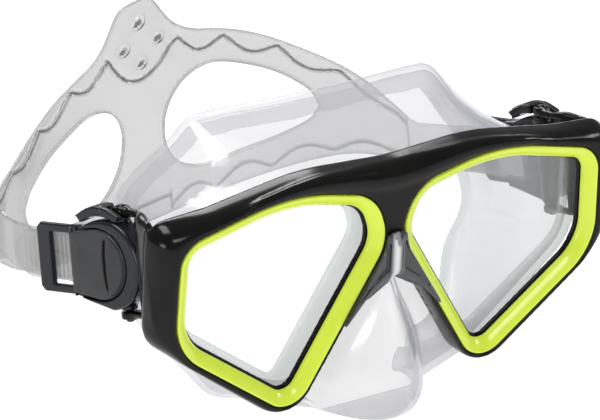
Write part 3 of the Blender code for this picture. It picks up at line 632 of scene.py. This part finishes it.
def frame_shape(step):
    """Black front frame: rounded walls, stepped lens pockets, hinge arms and lugs."""
    (x, y, z), low, size = grid((0.0, -3.0, -61.0), (93.0, 35.5, 31.0), (step, step, step))
    fx, fz = x[:, 0, :], z[:, 0, :]
    face = outline_distance(fx, fz, rounded(whole(FRAME_FACE)))[:, None, :]
    edge = outline_distance(fx, fz, rounded(whole(FRAME_EDGE)))[:, None, :]
    lens = outline_distance(fx, fz, rounded(LENS_CORNERS))[:, None, :]
    deep = 6.0 + 4.4 * smoothstep((fx - 62.0) / 20.0)[:, None, :]
    width = np.maximum(face - edge, 0.8)
    t = np.maximum(1.0 + edge / width, 0.0)
    s = np.maximum((deep + FRAME_FRONT - y) / deep, 0.0)
    radius = np.sqrt(t * t + s * s) + 1e-9
    body = (radius - 1.0) * (width * t * t + deep * s * s) / (radius * radius)
    body = meet(body, y - FRAME_REAR, 2.4)
    # rolled brow: a bead between the trims' outer edge and the frame's top edge
    reach = np.clip(0.5 * (lens - edge), 0.8, 4.9)
    bead_radius = 0.95 * reach + 0.2
    fade = 3.0 * smoothstep((13.0 - fz[:, None, :]) / 12.0) + 4.6 * smoothstep((x - 46.0) / 30.0)
    bead = np.hypot(edge + reach, y + BROW_DEPTH - bead_radius) - bead_radius + fade
    body = join(body, bead, 0.9)
    turn = np.array([list(v) for v in axes_at("right", FLARE["left"])])
    centre = np.array(hinge_centre("right"))
    local = [(x - centre[0]) * r[0] + (y - centre[1]) * r[1] + (z - centre[2]) * r[2] for r in turn]
    u, w, n = local[0] + HINGE_U, local[1], local[2] + HINGE_N
    plan = [(HINGE_U + 0.4, -1.95), (2.5, -1.95), (-1.2, 2.2), (-3.8, 3.9), (-10.3, 7.0), (-10.3, 3.15),
            (-3.6, -2.6), (6.0, -7.25), (HINGE_U + 0.4, -7.25)]
    arm = np.full(x.shape, 30.0)
    near = x[:, 0, 0] > 60.0
    arm[near] = outline_distance(u[near], n[near], plan)
    arm = meet(arm, np.abs(w) - 17.5 + 1.2 * smoothstep((-u - 1.0) / 8.0), 4.0)
    body = join(body, arm, 2.2)
    axle = np.hypot(u - HINGE_U, n - HINGE_N)
    knuckle = meet(axle - KNUCKLE_R, slab(np.abs(w), KNUCKLE_IN, KNUCKLE_OUT), 0.6)
    body = join(body, knuckle, 0.8)
    body = carve(body, np.maximum(axle - SWING_ROOM, np.abs(w) - KNUCKLE_IN), 0.7)
    body = np.maximum(body, -np.maximum(axle - HINGE_PIN_R - PIN_FIT, np.abs(w) - 22.0))
    pocket = np.minimum(np.maximum(lens - GAP, y - LEDGE_FRONT), lens + TRIM_WIDTH + 0.8)
    pocket = np.minimum(pocket, np.maximum(lens + LENS_INSET - GAP, LEDGE_REAR - y))
    body = carve(body, pocket, 0.35)
    both = np.concatenate([body[:0:-1], body])
    low = np.array([-(body.shape[0] - 1) * step, low[1], low[2]])
    verts, faces = net(both, low, size)
    return relax(verts, faces, 3), faces


def front():
    """Frame moulding, trim rings and lenses."""
    made = mesh_object("frame_moulding", *frame_shape(FRAME_STEP))
    finish_piece(made, BLACK, "mask", ["main_frame"])
    for label, side in SIDES.items():
        start = FRAME_FRONT
        profile = [(0.0, TRIM_REAR - 0.3), (0.0, start + 0.5), (0.10, start + 0.02), (0.30, start - 0.22),
                   (0.62, start - 0.27), (0.95, start - 0.12)]
        for k in range(1, 9):
            share = k / 8
            crown = 0.22 * math.sin(math.pi * share)
            profile.append((0.95 + (TRIM_WIDTH - 1.35) * share,
                            start - 0.12 + (TRIM_SLOPE - 0.35) * share - crown))
        profile += [(TRIM_WIDTH - 0.14, start + TRIM_SLOPE + 0.05), (TRIM_WIDTH, start + TRIM_SLOPE + 0.45),
                    (TRIM_WIDTH, TRIM_REAR - 0.3), (TRIM_WIDTH - 0.3, TRIM_REAR), (0.3, TRIM_REAR)]
        rings = [lens_ring(inset, depth, side) for inset, depth in profile]
        made = mesh_object(f"trim_ring_{label}", *skin(rings, looped=True))
        finish_piece(made, GREEN, "mask", [f"lens_trim_{label}"], 50.0)
        rear = LENS_FRONT + LENS_THICKNESS
        profile = [(0.4, LENS_FRONT), (0.12, LENS_FRONT + 0.12), (0.0, LENS_FRONT + 0.4), (0.0, rear - 0.4),
                   (0.12, rear - 0.12), (0.4, rear)]
        rings = [lens_ring(LENS_INSET + inset, depth, side) for inset, depth in profile]
        made = mesh_object(f"glass_{label}", *skin(rings))
        finish_piece(made, GLASS, "mask", [f"lens_{label}"], 40.0)


def clip_shape():
    """Grey bridge piece over the nose notch: raised spine and a sunken pocket on each side."""
    step = 0.24
    (x, y, z), low, size = grid((-20.0, -5.2, -29.0), (20.0, 3.0, 4.6), (step, step, step))
    fx, fz = x[:, 0, :], z[:, 0, :]
    front_half = [(0.0, 2.9, 4.0), (3.4, 2.3, 1.2), (4.4, -3.2, 12.0), (17.6, -24.4, 0.7), (18.4, -27.0, 0.4),
                  (9.2, -16.4, 14.0), (0.0, -11.4, 2.5)]
    core_half = [(0.0, -4.4, 1.0), (10.8, -18.6, 0.2), (9.2, -18.2, 0.2), (0.0, -12.6, 2.0)]
    outer = outline_distance(fx, fz, rounded(whole(front_half), 8, 2))[:, None, :]
    core = outline_distance(fx, fz, rounded(whole(core_half), 8, 2))[:, None, :]
    fade = smoothstep((fz + 12.5) / 4.0) * smoothstep((2.6 - fz) / 5.0)
    spread = 1.25 + 0.06 * np.clip(-fz, 0.0, 12.0)
    ridge = 1.25 * np.exp(-(np.abs(fx) / spread)**2.4) * fade
    crown = 0.35 * smoothstep(-outer[:, 0, :] / 2.2)
    top = (CLIP_FRONT + 0.35 - ridge - crown)[:, None, :]
    plate = meet(outer, np.maximum(top - y, y - CLIP_REAR), 0.5)
    body = join(plate, np.maximum(core, slab(y, CLIP_REAR - 0.6, 1.8)), 0.4)
    recess = rounded([(2.5, 1.4, 0.3), (3.9, -3.2, 6.0), (14.8, -20.9, 0.3), (9.3, -14.5, 6.0),
                           (2.7, -9.4, 0.8)], 6, 1)
    pocket = outline_distance(np.abs(fx), fz, recess)[:, None, :]
    floor = CLIP_FRONT + 1.25 - 0.05 * np.abs(x)
    body = carve(body, np.maximum(pocket, y - floor), 0.45)
    return net(body, low, size)


def clip():
    verts, faces = clip_shape()
    made = mesh_object("bridge_clip", relax(verts, faces, 2), faces)
    finish_piece(made, CLIP, "mask", ["nose_clip"])


def nose_slice(z, ridge, half, rear):
    depth_at_face = SKIRT_FRONT + 1.0
    steps = 22
    ring = []
    for k in range(-steps, steps + 1):
        t = k / steps
        ring.append((half * t, ridge + (depth_at_face - ridge) * abs(t) ** NOSE_FULLNESS, z))
    return np.array(ring + [(half, rear + 0.01, z), (-half, rear + 0.01, z)])


def skirt():
    """Clear face skirt: front plate, nose pocket, side walls and turned-in seal, blended into one skin."""
    face, mid, crest = whole(SKIRT_FACE), whole(SKIRT_MID), whole(SKIRT_CREST)
    outer = [section(face), section(mid), section(crest), section(offset(crest, -SEAL_FLANGE * 0.5), 2.0),
             section(offset(crest, -SEAL_FLANGE), 0.5)]
    inner = [section(offset(crest, -SEAL_FLANGE), -0.8), section(offset(crest, -SEAL_FLANGE * 0.5), 0.6),
             section(offset(crest, -SKIRT_WALL * 1.2), -1.6), section(offset(mid, -SKIRT_WALL)),
             section(offset(face, -SKIRT_WALL), SKIRT_WALL)]
    body = mesh_object("skirt_moulding", *skin(spline(outer, 8) + spline(inner, 8)))
    slices = spline(NOSE_SLICES, 3)
    pocket = mesh_object("nose_outer", *skin([nose_slice(z, ridge, half, SKIRT_FRONT + 1.0)
                                              for z, ridge, half in slices]))
    hollow = [(z, ridge + SKIRT_WALL, half - SKIRT_WALL) for z, ridge, half in NOSE_SLICES[1:-1]]
    hollow[-1] = (hollow[-1][0] - 0.6, *hollow[-1][1:])
    cavity = mesh_object("nose_inner", *skin([nose_slice(z, ridge, half, 24.0)
                                              for z, ridge, half in spline(hollow, 3)]))
    boolean(body, pocket, "UNION")
    boolean(body, cavity)
    helpers = [pocket, cavity]
    for label, side in SIDES.items():
        opening = mesh_object(f"opening_{label}", *skin([lens_ring(TRIM_WIDTH + 2.4, depth, side)
                                                         for depth in (4.0, 14.0)]))
        boolean(body, opening)
        helpers.append(opening)
    remesh = body.modifiers.new("even_skin", "REMESH")
    remesh.mode = "VOXEL"
    remesh.voxel_size = FRAME_STEP * MM
    smooth = body.modifiers.new("soften", "SMOOTH")
    smooth.factor = 0.5
    smooth.iterations = 5
    bake_modifiers(body, helpers)
    finish_piece(body, SKIRT, "mask", ["skirt"])


# ---------------------------------------------------------------- buckles

def housing_shape():
    """Round body with a bowl for the lever, strap window, hinge barrel and rear strap frame."""
    step = 0.3
    (u, w, n), low, size = grid((-2.4, -16.0, -8.2), (43.4, 16.0, 2.8), (step, step, step))
    fu, fw = u[:, :, 0], w[:, :, 0]
    half = BRACKET_HALF - 0.2
    ring = (arc_points(RING_U, RING_R, 108.0, 262.0)
            + [(22.6, -11.5), (27.5, -half), (27.5, half), (22.4, 11.3)]
            + arc_points(RING_U, SHOULDER_R, 64.0, 97.0))
    ring = prism(fu, fw, ring)
    body = meet(ring, slab(n, BODY_IN, BODY_RIM), 1.6)
    cut = 1.6
    upper = [(22.0, BRACKET_HALF), (BRACKET_END_U - cut, BRACKET_HALF), (BRACKET_END_U, BRACKET_HALF - cut)]
    bracket = [(a, -b) for a, b in upper] + upper[::-1]
    bracket = prism(fu, fw, bracket)
    body = join(body, meet(bracket, slab(n, *BRACKET_N), 0.9), 1.0)
    axle = np.hypot(u - HINGE_U, n - HINGE_N)
    body = join(body, meet(axle - KNUCKLE_R, np.abs(w) - KNUCKLE_IN + GAP, 0.5), 0.5)
    bowl = (arc_points(PLATE_U, PLATE_R + 0.4, 88.0, 272.0)
            + [(45.0, -PLATE_REAR_HALF - 0.35), (45.0, PLATE_REAR_HALF + 0.35)])
    bowl = prism(fu, fw, bowl)
    body = carve(body, np.maximum(bowl, BODY_FLOOR - n), 0.6)
    well = np.maximum(slab(fu, WELL_FRONT_U, SLOT_REAR_U), np.abs(fw) - WELL_HALF)[:, :, None]
    body = carve(body, well, 0.4)
    roller = np.maximum(np.hypot(u - ROLLER_U, n - ROLLER_N) - ROLLER_HOLE_R, np.abs(w) - WELL_HALF - 1.0)
    pin = np.hypot(u - LEVER_PIN_U, n - LEVER_PIN_N) - LEVER_PIN_R - LEVER_PIN_FIT
    body = np.maximum(body, -np.minimum(np.minimum(roller, pin), axle - HINGE_PIN_R - PIN_FIT))
    verts, faces = net(body, low, size)
    return relax(verts, faces, 2), faces


def lever_shape():
    """D-shaped release plate with a raised crescent finger lip and a slot behind it."""
    step = 0.22
    (u, w, n), low, size = grid((3.0, -12.0, -1.2), (28.0, 12.0, 4.2), (step, step, step))
    fu, fw = u[:, :, 0], w[:, :, 0]
    plate = arc_points(PLATE_U, PLATE_R, 86.0, 274.0) + [(PLATE_REAR_U, -PLATE_REAR_HALF),
                                                        (PLATE_REAR_U, PLATE_REAR_HALF)]
    plate = prism(fu, fw, plate)
    dome = 0.25 * smoothstep(-plate / 4.0)
    body = meet(plate, slab(n, PLATE_IN, PLATE_OUT - 0.2 + dome), 0.7)
    lip = arc_points(PLATE_U, PLATE_R - 0.5, 118.0, 242.0)
    end, start = lip[0], lip[-1]
    lip += [(start[0] + 0.6 * math.sin(math.pi * t), start[1] + (end[1] - start[1]) * t)
            for t in (k / 16 for k in range(1, 16))]
    lip = prism(fu, fw, lip)
    lean = 0.16 * (10.5 - np.clip(u, 4.5, 10.5))
    body = join(body, meet(lip, slab(n, 0.6, PLATE_OUT + 1.5 - lean), 0.8), 0.5)
    slot = [(11.1, 8.7), (12.6, 7.6), (13.3, 3.0), (13.3, -3.0), (12.6, -7.6), (11.1, -8.7)]
    slot = prism(fu, fw, slot)
    body = carve(body, np.maximum(slot, PLATE_IN + 0.45 - n), 0.3)
    pin = np.hypot(u - LEVER_PIN_U, n - LEVER_PIN_N) - LEVER_PIN_R - PIN_FIT
    verts, faces = net(np.maximum(body, -pin), low, size)
    return relax(verts, faces, 2), faces


def squeeze_shape():
    """Curved pinch arm with a ribbed finger pad along its outer edge."""
    lower, upper = [], []
    steps = 40
    for k in range(steps + 1):
        t = k / steps
        angle = math.radians(113.0 - 60.0 * t)
        inner = RING_R + GAP + ARM_TAPER * smoothstep(t)
        outer = RING_R + ARM_ROOT + ARM_SWELL * smoothstep(1.6 * t)
        lower.append((RING_U + inner * math.cos(angle), inner * math.sin(angle)))
        upper.append((RING_U + outer * math.cos(angle), outer * math.sin(angle)))
    step = 0.24
    (u, w, n), low, size = grid((5.6, 10.2, -7.6), (25.0, 19.2, 2.0), (step, step, step))
    fu, fw = u[:, :, 0], w[:, :, 0]
    whole_arm = prism(fu, fw, lower + upper[::-1])
    body = meet(whole_arm, slab(n, -1.4, BODY_RIM - 0.6), 0.7)
    start = HINGE_U + KNUCKLE_R + 0.7
    pad = ([p for p in lower if p[0] > start] + [p for p in upper if p[0] > start][::-1])
    pad = prism(fu, fw, pad)
    body = join(body, meet(pad, slab(n, BODY_IN + 0.4, 0.0), 0.9), 0.3)
    radius = np.hypot(u - RING_U, w)
    around = np.arctan2(w, u - RING_U) * radius
    ribs = PAD_RIB * np.cos(2.0 * math.pi * around / PAD_RIB_PITCH)
    ribs = ribs * smoothstep((radius - RING_R - 1.6) / 1.0)
    ribs = ribs * smoothstep((u - start - 0.6) / 1.0) * smoothstep((23.4 - u) / 1.2)
    body = body + 0.12 * (ribs != 0.0) - ribs * smoothstep((-n - 0.2) / 0.5)
    verts, faces = net(body, low, size)
    return relax(verts, faces, 1), faces


def rod_shape(u, n, profile, sides=28):
    """Round bar along the hinge direction from (w, radius) pairs."""
    turns = [2.0 * math.pi * k / sides for k in range(sides)]
    return skin([[(u + r * math.cos(a), w, n + r * math.sin(a)) for a in turns] for w, r in profile])


def buckle(label, shapes):
    """All hard pieces of one buckle, placed from shapes in the buckle's own axes."""
    for name, (verts, faces), look, slot, body, node, sharp in shapes:
        made = mesh_object(f"{name}_{label}", buckle_to_mask(label, verts), faces)
        rides = body if body == "mask" else f"{body}_{label}"
        finish_piece(made, look, rides, [f"{node}_{label}"], sharp)


def buckle_shapes():
    end = WELL_HALF + 0.8
    roll = WELL_HALF - 0.3
    pin_low, pin_high = -KNUCKLE_OUT - 0.8, KNUCKLE_OUT + 0.4
    reach = BRACKET_HALF - 0.3
    roller = rod_shape(ROLLER_U, ROLLER_N, [(-end, 0.42), (-end + 0.1, 0.5), (-roll, 0.5), (-roll, 1.0),
                                            (-roll + 0.2, ROLLER_R), (roll - 0.2, ROLLER_R), (roll, 1.0),
                                            (roll, 0.5), (end - 0.1, 0.5), (end, 0.42)])
    hinge = rod_shape(HINGE_U, HINGE_N, [(pin_low, 0.9), (pin_low + 0.1, 1.08), (pin_low + 0.35, HINGE_PIN_R),
                                         (pin_high - 0.3, HINGE_PIN_R), (pin_high, 0.9)])
    thin = rod_shape(LEVER_PIN_U, LEVER_PIN_N, [(-reach, 0.35), (-reach + 0.1, LEVER_PIN_R),
                                                (reach - 0.1, LEVER_PIN_R), (reach, 0.35)])
    return [
        ("buckle_body", housing_shape(), BUCKLE, "buckle_grey", "buckle", "buckle_housing", None),
        ("lever_plate", lever_shape(), LEVER, "lever_grey", "lever", "release_lever", None),
        ("pinch_arm", squeeze_shape(), BUCKLE, "buckle_grey", "squeeze", "squeeze_arm", None),
        ("roller_bar", roller, BUCKLE, "buckle_grey", "roller", "strap_roller", 40.0),
        ("hinge_rod", hinge, STEEL, "pin_steel", "mask", "hinge_pin", 40.0),
        ("lever_rod", thin, STEEL, "pin_steel", "buckle", "lever_pin", 40.0),
    ]


# ---------------------------------------------------------------- strap

def band_plan():
    """Plan curve of the split strap: neck on the left, round the back, neck on the right."""
    ends = []
    for label in SIDES:
        slope = (NECK_END_N[label] + 6.0) / 14.0
        ends.append(buckle_to_mask(label, [(NECK_END_U + 0.5, 0.0, NECK_END_N[label] + 0.5 * slope),
                                           (NECK_END_U + 14.0, 0.0, NECK_END_N[label] + 17.0 * slope)]))
    (x, y), (across, along) = BACK_CENTRE, BACK_RADII
    turns = [math.radians(degrees) for degrees in (135, 113, 90, 67, 45)]
    back = [(x + across * math.cos(turn), y + along * math.sin(turn)) for turn in turns]
    knots = [ends[0][0][:2], ends[0][1][:2]] + back + [ends[1][1][:2], ends[1][0][:2]]
    return np.array(spline(knots, 32)), ends[0][0][2], ends[1][0][2]


def band_line():
    """Arc length from the web, centre, upward direction and outward normal at stations along the strap."""
    plan, z_left, z_right = band_plan()
    lengths = np.concatenate([[0.0], np.cumsum(np.linalg.norm(np.diff(plan, axis=0), axis=1))])
    behind = plan[:, 1] > 100.0
    middle = int(np.argmin(np.where(behind, np.abs(plan[:, 0] - BACK_CENTRE[0]), 1e9)))
    rows = []
    for i, point in enumerate(plan):
        s = lengths[i] - lengths[middle]
        reach = lengths[middle] if s < 0.0 else lengths[-1] - lengths[middle]
        end_z, label = (z_left, "left") if s < 0.0 else (z_right, "right")
        t = abs(s) / reach
        roll = BAND_ROLL * math.sin(math.pi * min(t * 1.05, 1.0)) * (1.0 if s > 0.0 else -1.0)
        z = BAND_CENTRE_Z + (end_z - BAND_CENTRE_Z) * smoothstep(t * 1.6 - 0.6) + roll
        along = plan[min(i + 1, len(plan) - 1)] - plan[max(i - 1, 0)]
        along = along / np.linalg.norm(along)
        hinge_up = axes_at(label, FLARE[label])[1]
        rise = Vector((0.0, 0.0, 1.0)).lerp(hinge_up, smoothstep((t - 0.75) / 0.25))
        rise.normalize()
        rows.append((s, point[0], point[1], z, *rise, -along[1], along[0], 0.0))
    return np.array(rows)


def band_half(s):
    return END_HALF + 26.4 * smoothstep((100.0 - np.abs(s)) / 92.0) ** 0.75


def edge_shift(s):
    """The upper edge sits a little higher left of the tab and lower right of it."""
    return ((1.4 * smoothstep((-s - 6.0) / 8.0) - 2.6 * smoothstep((s - 6.0) / 16.0))
            * smoothstep((90.0 - np.abs(s)) / 40.0))


def top_edge(s):
    """Height of the strap's upper edge: a pull tab, steep on the left and gentler on the right."""
    away = s - TAB_MIDDLE
    width, power = np.where(away < 0.0, 10.0, 10.9), np.where(away < 0.0, 4.9, 4.1)
    return band_half(s) + TAB_RISE / (1.0 + (np.abs(away) / width) ** power) + edge_shift(s)


def on_band(line, s, z, n):
    """Flat strap coordinates to mask millimetres."""
    columns = [np.interp(s, line[:, 0], line[:, c]) for c in range(1, 10)]
    centre, rise, out = (np.stack(columns[i:i + 3], axis=-1) for i in (0, 3, 6))
    out = out / np.linalg.norm(out, axis=-1, keepdims=True)
    return centre + rise * np.asarray(z)[..., None] + out * np.asarray(n)[..., None]


def band(line):
    """Split head strap between the two necks, shaped flat and then bent round the head."""
    step = (0.44, 0.44, 0.24)
    (s, z, n), low, size = grid((-NECK_START - 1.5, -36.0, -3.8), (NECK_START + 1.5, 52.0, 2.2), step)
    fs, fz = s[:, :, 0], z[:, :, 0]
    spots = np.linspace(-NECK_START - 6.0, NECK_START + 6.0, 190)
    outline = list(zip(spots, top_edge(spots))) + list(zip(spots[::-1], -band_half(spots[::-1])))
    shape = outline_distance(fs, fz, outline)
    line_half = np.array(spline(GAP_LINE, 4))
    hole = [tuple(p) for p in line_half] + [(p[0], -p[1] * 1.12) for p in line_half[-2:0:-1]]
    gap = outline_distance(np.abs(fs - WEB_SHIFT), fz, hole)
    rim = np.maximum(shape, -gap)
    inside = np.maximum(rim, np.abs(fs) - NECK_START)
    # the strap is thicker inside a scalloped line that starts at a cup below the tab
    away = np.abs(fs)
    phase = np.interp(away, SCALLOP_TIPS, range(len(SCALLOP_TIPS)))
    sag = SCALLOP_DEPTH * np.sin(math.pi * (phase % 1.0)) ** 1.2 * np.clip((110.0 - away) / 60.0, 0.25, 1.0)
    edge = band_half(fs) - 2.3 - sag + np.where(fz > 0.0, edge_shift(fs), 0.0)
    cup = CUP_HEIGHT + 0.072 * (fs - 0.6)**2
    middle = np.where(fz > 0.0, band_half(0.0) - 2.0 - 0.16 * fs, band_half(0.0) - 7.0)
    edge = np.where(away < SCALLOP_TIPS[0], middle, edge)
    edge = np.where((fz > 0.0) & (away < 16.0), join(edge, cup, 2.6), edge)
    slope = np.hypot(*np.gradient(edge - np.abs(fz), step[0]))
    line_away = (edge - np.abs(fz)) / np.maximum(slope, 1.0)
    inner = smoothstep(line_away / 0.5 + 0.5)
    thick = MARGIN_HALF + BODY_STEP * inner + RIM_BEAD * bell(rim, -1.0, 0.6)
    thick = thick - GROOVE_DEPTH * bell(line_away, -0.1, 0.45)
    # painted shade: clear silicone looks dark where it bends light away, so the colour is darkened in the
    # groove, under the domes, at cut edges, with a painted highlight just inside the line
    painted_shading = (0.95 * bell(line_away, -0.1, 0.42) * smoothstep((-0.6 - rim) / 0.8)
              + 0.5 * bell(rim, -0.15, 0.3) - 0.25 * bell(line_away, -1.0, 0.5))
    dome = np.zeros(fs.shape)
    for ds, dz, radius in TAB_DOMES:
        apart = np.hypot(fs - ds, fz - dz)
        dome = np.maximum(dome, 0.85 * radius * np.sqrt(np.clip(1.0 - (apart / radius)**2, 0.0, 1.0)))
        thick = thick - 0.25 * bell(apart - radius, 0.3, 0.45)
        low_side, disc = (0.86 * (dz - fz) + 0.5 * (fs - ds)) / radius, smoothstep((radius - apart) / 0.4)
        beside = (0.5 * (dz - fz) - 0.86 * (fs - ds)) / radius
        spot = 1.0 - np.hypot(beside / 0.66, (low_side - 0.55) / 0.42)
        # painted shadow as a dark crescent on each dome's lower side, painted highlight on its upper side
        painted_shading = painted_shading + 1.4 * smoothstep(spot / 0.4) - 0.4 * disc * smoothstep((0.1 - low_side) / 0.3)
    body = meet(inside[:, :, None], slab(n, -(thick + dome)[:, :, None], thick[:, :, None]), 0.6)
    verts, faces = net(body, low, size)
    verts = relax(verts, faces, 1)
    placed = on_band(line, verts[:, 0], verts[:, 1], verts[:, 2])
    made = mesh_object("strap_split_band", placed, faces)
    column = np.clip(np.rint((verts[:, 0] - fs[0, 0]) / step[0]).astype(int), 0, fs.shape[0] - 1)
    row = np.clip(np.rint((verts[:, 1] - fz[0, 0]) / step[1]).astype(int), 0, fs.shape[1] - 1)
    # store the painted shade and highlight per vertex for the strap material
    made.data.attributes.new("painted_shading", "FLOAT", "POINT").data.foreach_set("value", painted_shading[column, row])
    finish_piece(made, STRAP, "mask", ["strap_band"])


def end_path(label):
    """Middle of the strap end in (u, n): in along the head side, round the roller, back as a tail."""
    end_n = NECK_END_N[label]
    turn = ROLLER_R + 0.25 + END_THICKNESS / 2
    inner, outer = ROLLER_N - turn, ROLLER_N + turn
    points = [(NECK_END_U, end_n)]
    for u, share in ((58.0, 0.55), (50.0, 0.19), (41.0, 0.0), (30.0, 0.0)):
        points.append((u, inner + (end_n - inner) * share))
    for k in range(9):
        angle = math.radians(-90.0 - 180.0 * k / 8)
        points.append((ROLLER_U + turn * math.cos(angle), ROLLER_N + turn * math.sin(angle)))
    return points + [(26.0, outer - 0.5), (31.0, -3.6), (34.5, -4.2), (41.0, -4.2), (48.0, -4.3),
                     (52.0, -4.6), (TAIL_END_U - 0.8, -4.85), (TAIL_END_U, -4.9)]


def neck(label, line):
    """Strap neck and ribbed end in one piece: from the split band, round the roller, out as a tail."""
    side = SIDES[label]
    limit = abs(line[0, 0]) if side < 0 else line[-1, 0]
    stations = []
    for s in np.arange(NECK_START, limit - 0.3, 1.0):
        centre = on_band(line, side * s, 0.0, 0.0)
        rise = on_band(line, side * s, 1.0, 0.0) - centre
        out = on_band(line, side * s, 0.0, 1.0) - centre
        thick = 1.44 + 0.16 * smoothstep((s - NECK_START) / 20.0)
        stations.append((centre, rise, out, float(band_half(s)), thick, 0.0))
    path = np.array(spline(end_path(label), 10))
    lengths = np.concatenate([[0.0], np.cumsum(np.linalg.norm(np.diff(path, axis=0), axis=1))])
    even = np.arange(0.0, lengths[-1], 0.36)
    path = np.stack([np.interp(even, lengths, path[:, c]) for c in (0, 1)], axis=1)
    turned = next(i for i, p in enumerate(path) if p[0] < ROLLER_U)
    total = even[-1]
    for i, (u, n) in enumerate(path):
        before, after = path[max(i - 1, 0)], path[min(i + 1, len(path) - 1)]
        along = (after - before) / np.linalg.norm(after - before)
        normal = np.array((along[1], -along[0]))
        beyond = (u + normal[0], 0.0, n + normal[1])
        centre, up, out = buckle_to_mask(label, [(u, 0.0, n), (u, 1.0, n), beyond])
        left_over = total - even[i]
        half = END_HALF
        if left_over < END_HALF:
            half = math.sqrt(max(END_HALF**2 - (END_HALF - left_over)**2, 2.0))
        ribs = 0.0
        if i > turned:
            ribs = RIB_HEIGHT * (0.5 - 0.5 * math.cos(2.0 * math.pi * even[i] / RIB_PITCH)) ** 0.6
            ribs *= smoothstep((left_over - 2.0) / 2.0)
        thick = END_THICKNESS - RIB_HEIGHT * min(ribs * 4.0, 1.0)
        stations.append((centre, up - centre, out - centre, half, thick, ribs))
    across = np.array([-1.0, -0.985, -0.95, -0.88, -0.84, -0.80, -0.6, -0.3, 0.0, 0.3, 0.6, 0.80, 0.84, 0.88,
                       0.95, 0.985, 1.0])
    fall = np.sqrt(np.clip(1.0 - np.abs(across)**16, 0.12, 1.0))
    ridge = smoothstep((0.86 - np.abs(across)) / 0.05)
    rings = []
    for centre, up, out, half, thick, rib in stations:
        upper = thick / 2 * fall + rib * ridge
        lower = -thick / 2 * fall
        edge = list(zip(across, upper)) + list(zip(across[::-1], lower[::-1]))
        rings.append([centre + up * (a * half) + out * h for a, h in edge])
    made = mesh_object(f"strap_neck_{label}", *skin(rings))
    finish_piece(made, STRAP, None, [f"strap_end_{label}"], 50.0)
    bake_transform(made)


# ---------------------------------------------------------------- studio

def studio():
    """Pale floor, white surroundings and five soft lamps."""
    scene = bpy.context.scene
    size, low = 6.0, FLOOR_Z * MM
    mesh = bpy.data.meshes.new("floor")
    corners = [(-size, -size, low), (size, -size, low), (size, size, low), (-size, size, low)]
    mesh.from_pydata(corners, [], [(0, 1, 2, 3)])
    floor = new_object("floor", mesh)
    mat, tree, shader, _ = new_material("floor_paper")
    fill(tree, shader, {"Base Color": colour_between(tree, noise(tree, 30.0), (0.30,) * 3, (0.34,) * 3),
                        "Roughness": 0.9, "Emission Color": (1.0,) * 3, "Emission Strength": 0.82})
    mesh.materials.append(mat)
    world = bpy.data.worlds.new("studio")
    world.use_nodes = True
    fill(world.node_tree, world.node_tree.nodes["Background"], {"Color": (1.0,) * 3, "Strength": 0.30})
    scene.world = world
    lamps = [("key", (-0.35, 0.15, 1.1), 0.7, 9.0), ("back", (0.3, 1.0, 0.7), 0.7, 6.0),
             ("side", (1.1, -0.4, 0.6), 0.4, 3.0), ("front", (-1.1, -0.5, 0.2), 0.35, 2.2),
             ("face", (-0.3, -1.2, 0.9), 0.5, 4.0)]
    for name, place, width, power in lamps:
        data = bpy.data.lights.new(name, "AREA")
        data.shape = "RECTANGLE"
        data.size = width
        data.size_y = width * 0.6
        data.energy = power
        lamp = new_object(name, data)
        lamp.location = place
        lamp.rotation_mode = "QUATERNION"
        lamp.rotation_quaternion = (-Vector(place)).to_track_quat("-Z", "Y")
    scene.cycles.transparent_max_bounces = 40
    scene.cycles.max_bounces = 10
    scene.view_settings.view_transform = "Standard"


def camera():
    """Long lens from the front left, 26 degrees above the horizon, slightly rolled."""
    azimuth, elevation, roll = (math.radians(a) for a in (34.26, 26.0, 2.91))
    distance, right_shift, up_shift = 1.28461, -0.02879, 0.00842
    look = Vector((math.sin(azimuth) * math.cos(elevation), math.cos(azimuth) * math.cos(elevation),
                   -math.sin(elevation)))
    level = Vector((math.cos(azimuth), -math.sin(azimuth), 0.0))
    above = level.cross(look)
    right = level * math.cos(roll) + above * math.sin(roll)
    up = above * math.cos(roll) - level * math.sin(roll)
    aim = right * right_shift + up * up_shift - Vector((0.0, SEAL_DEPTH * MM, 0.0))
    data = bpy.data.cameras.new("camera")
    data.lens = 251.53
    data.sensor_width = 36.0
    data.clip_end = 50.0
    cam = new_object("camera", data)
    turn = Matrix((right, up, -look)).transposed().to_4x4()
    cam.matrix_world = Matrix.Translation(aim - look * distance) @ turn
    bpy.context.scene.camera = cam


def main():
    front()
    clip()
    skirt()
    shapes = buckle_shapes()
    line = band_line()
    band(line)
    for label in SIDES:
        buckle(label, shapes)
        neck(label, line)
    studio()
    camera()
    bpy.context.view_layer.update()


main()
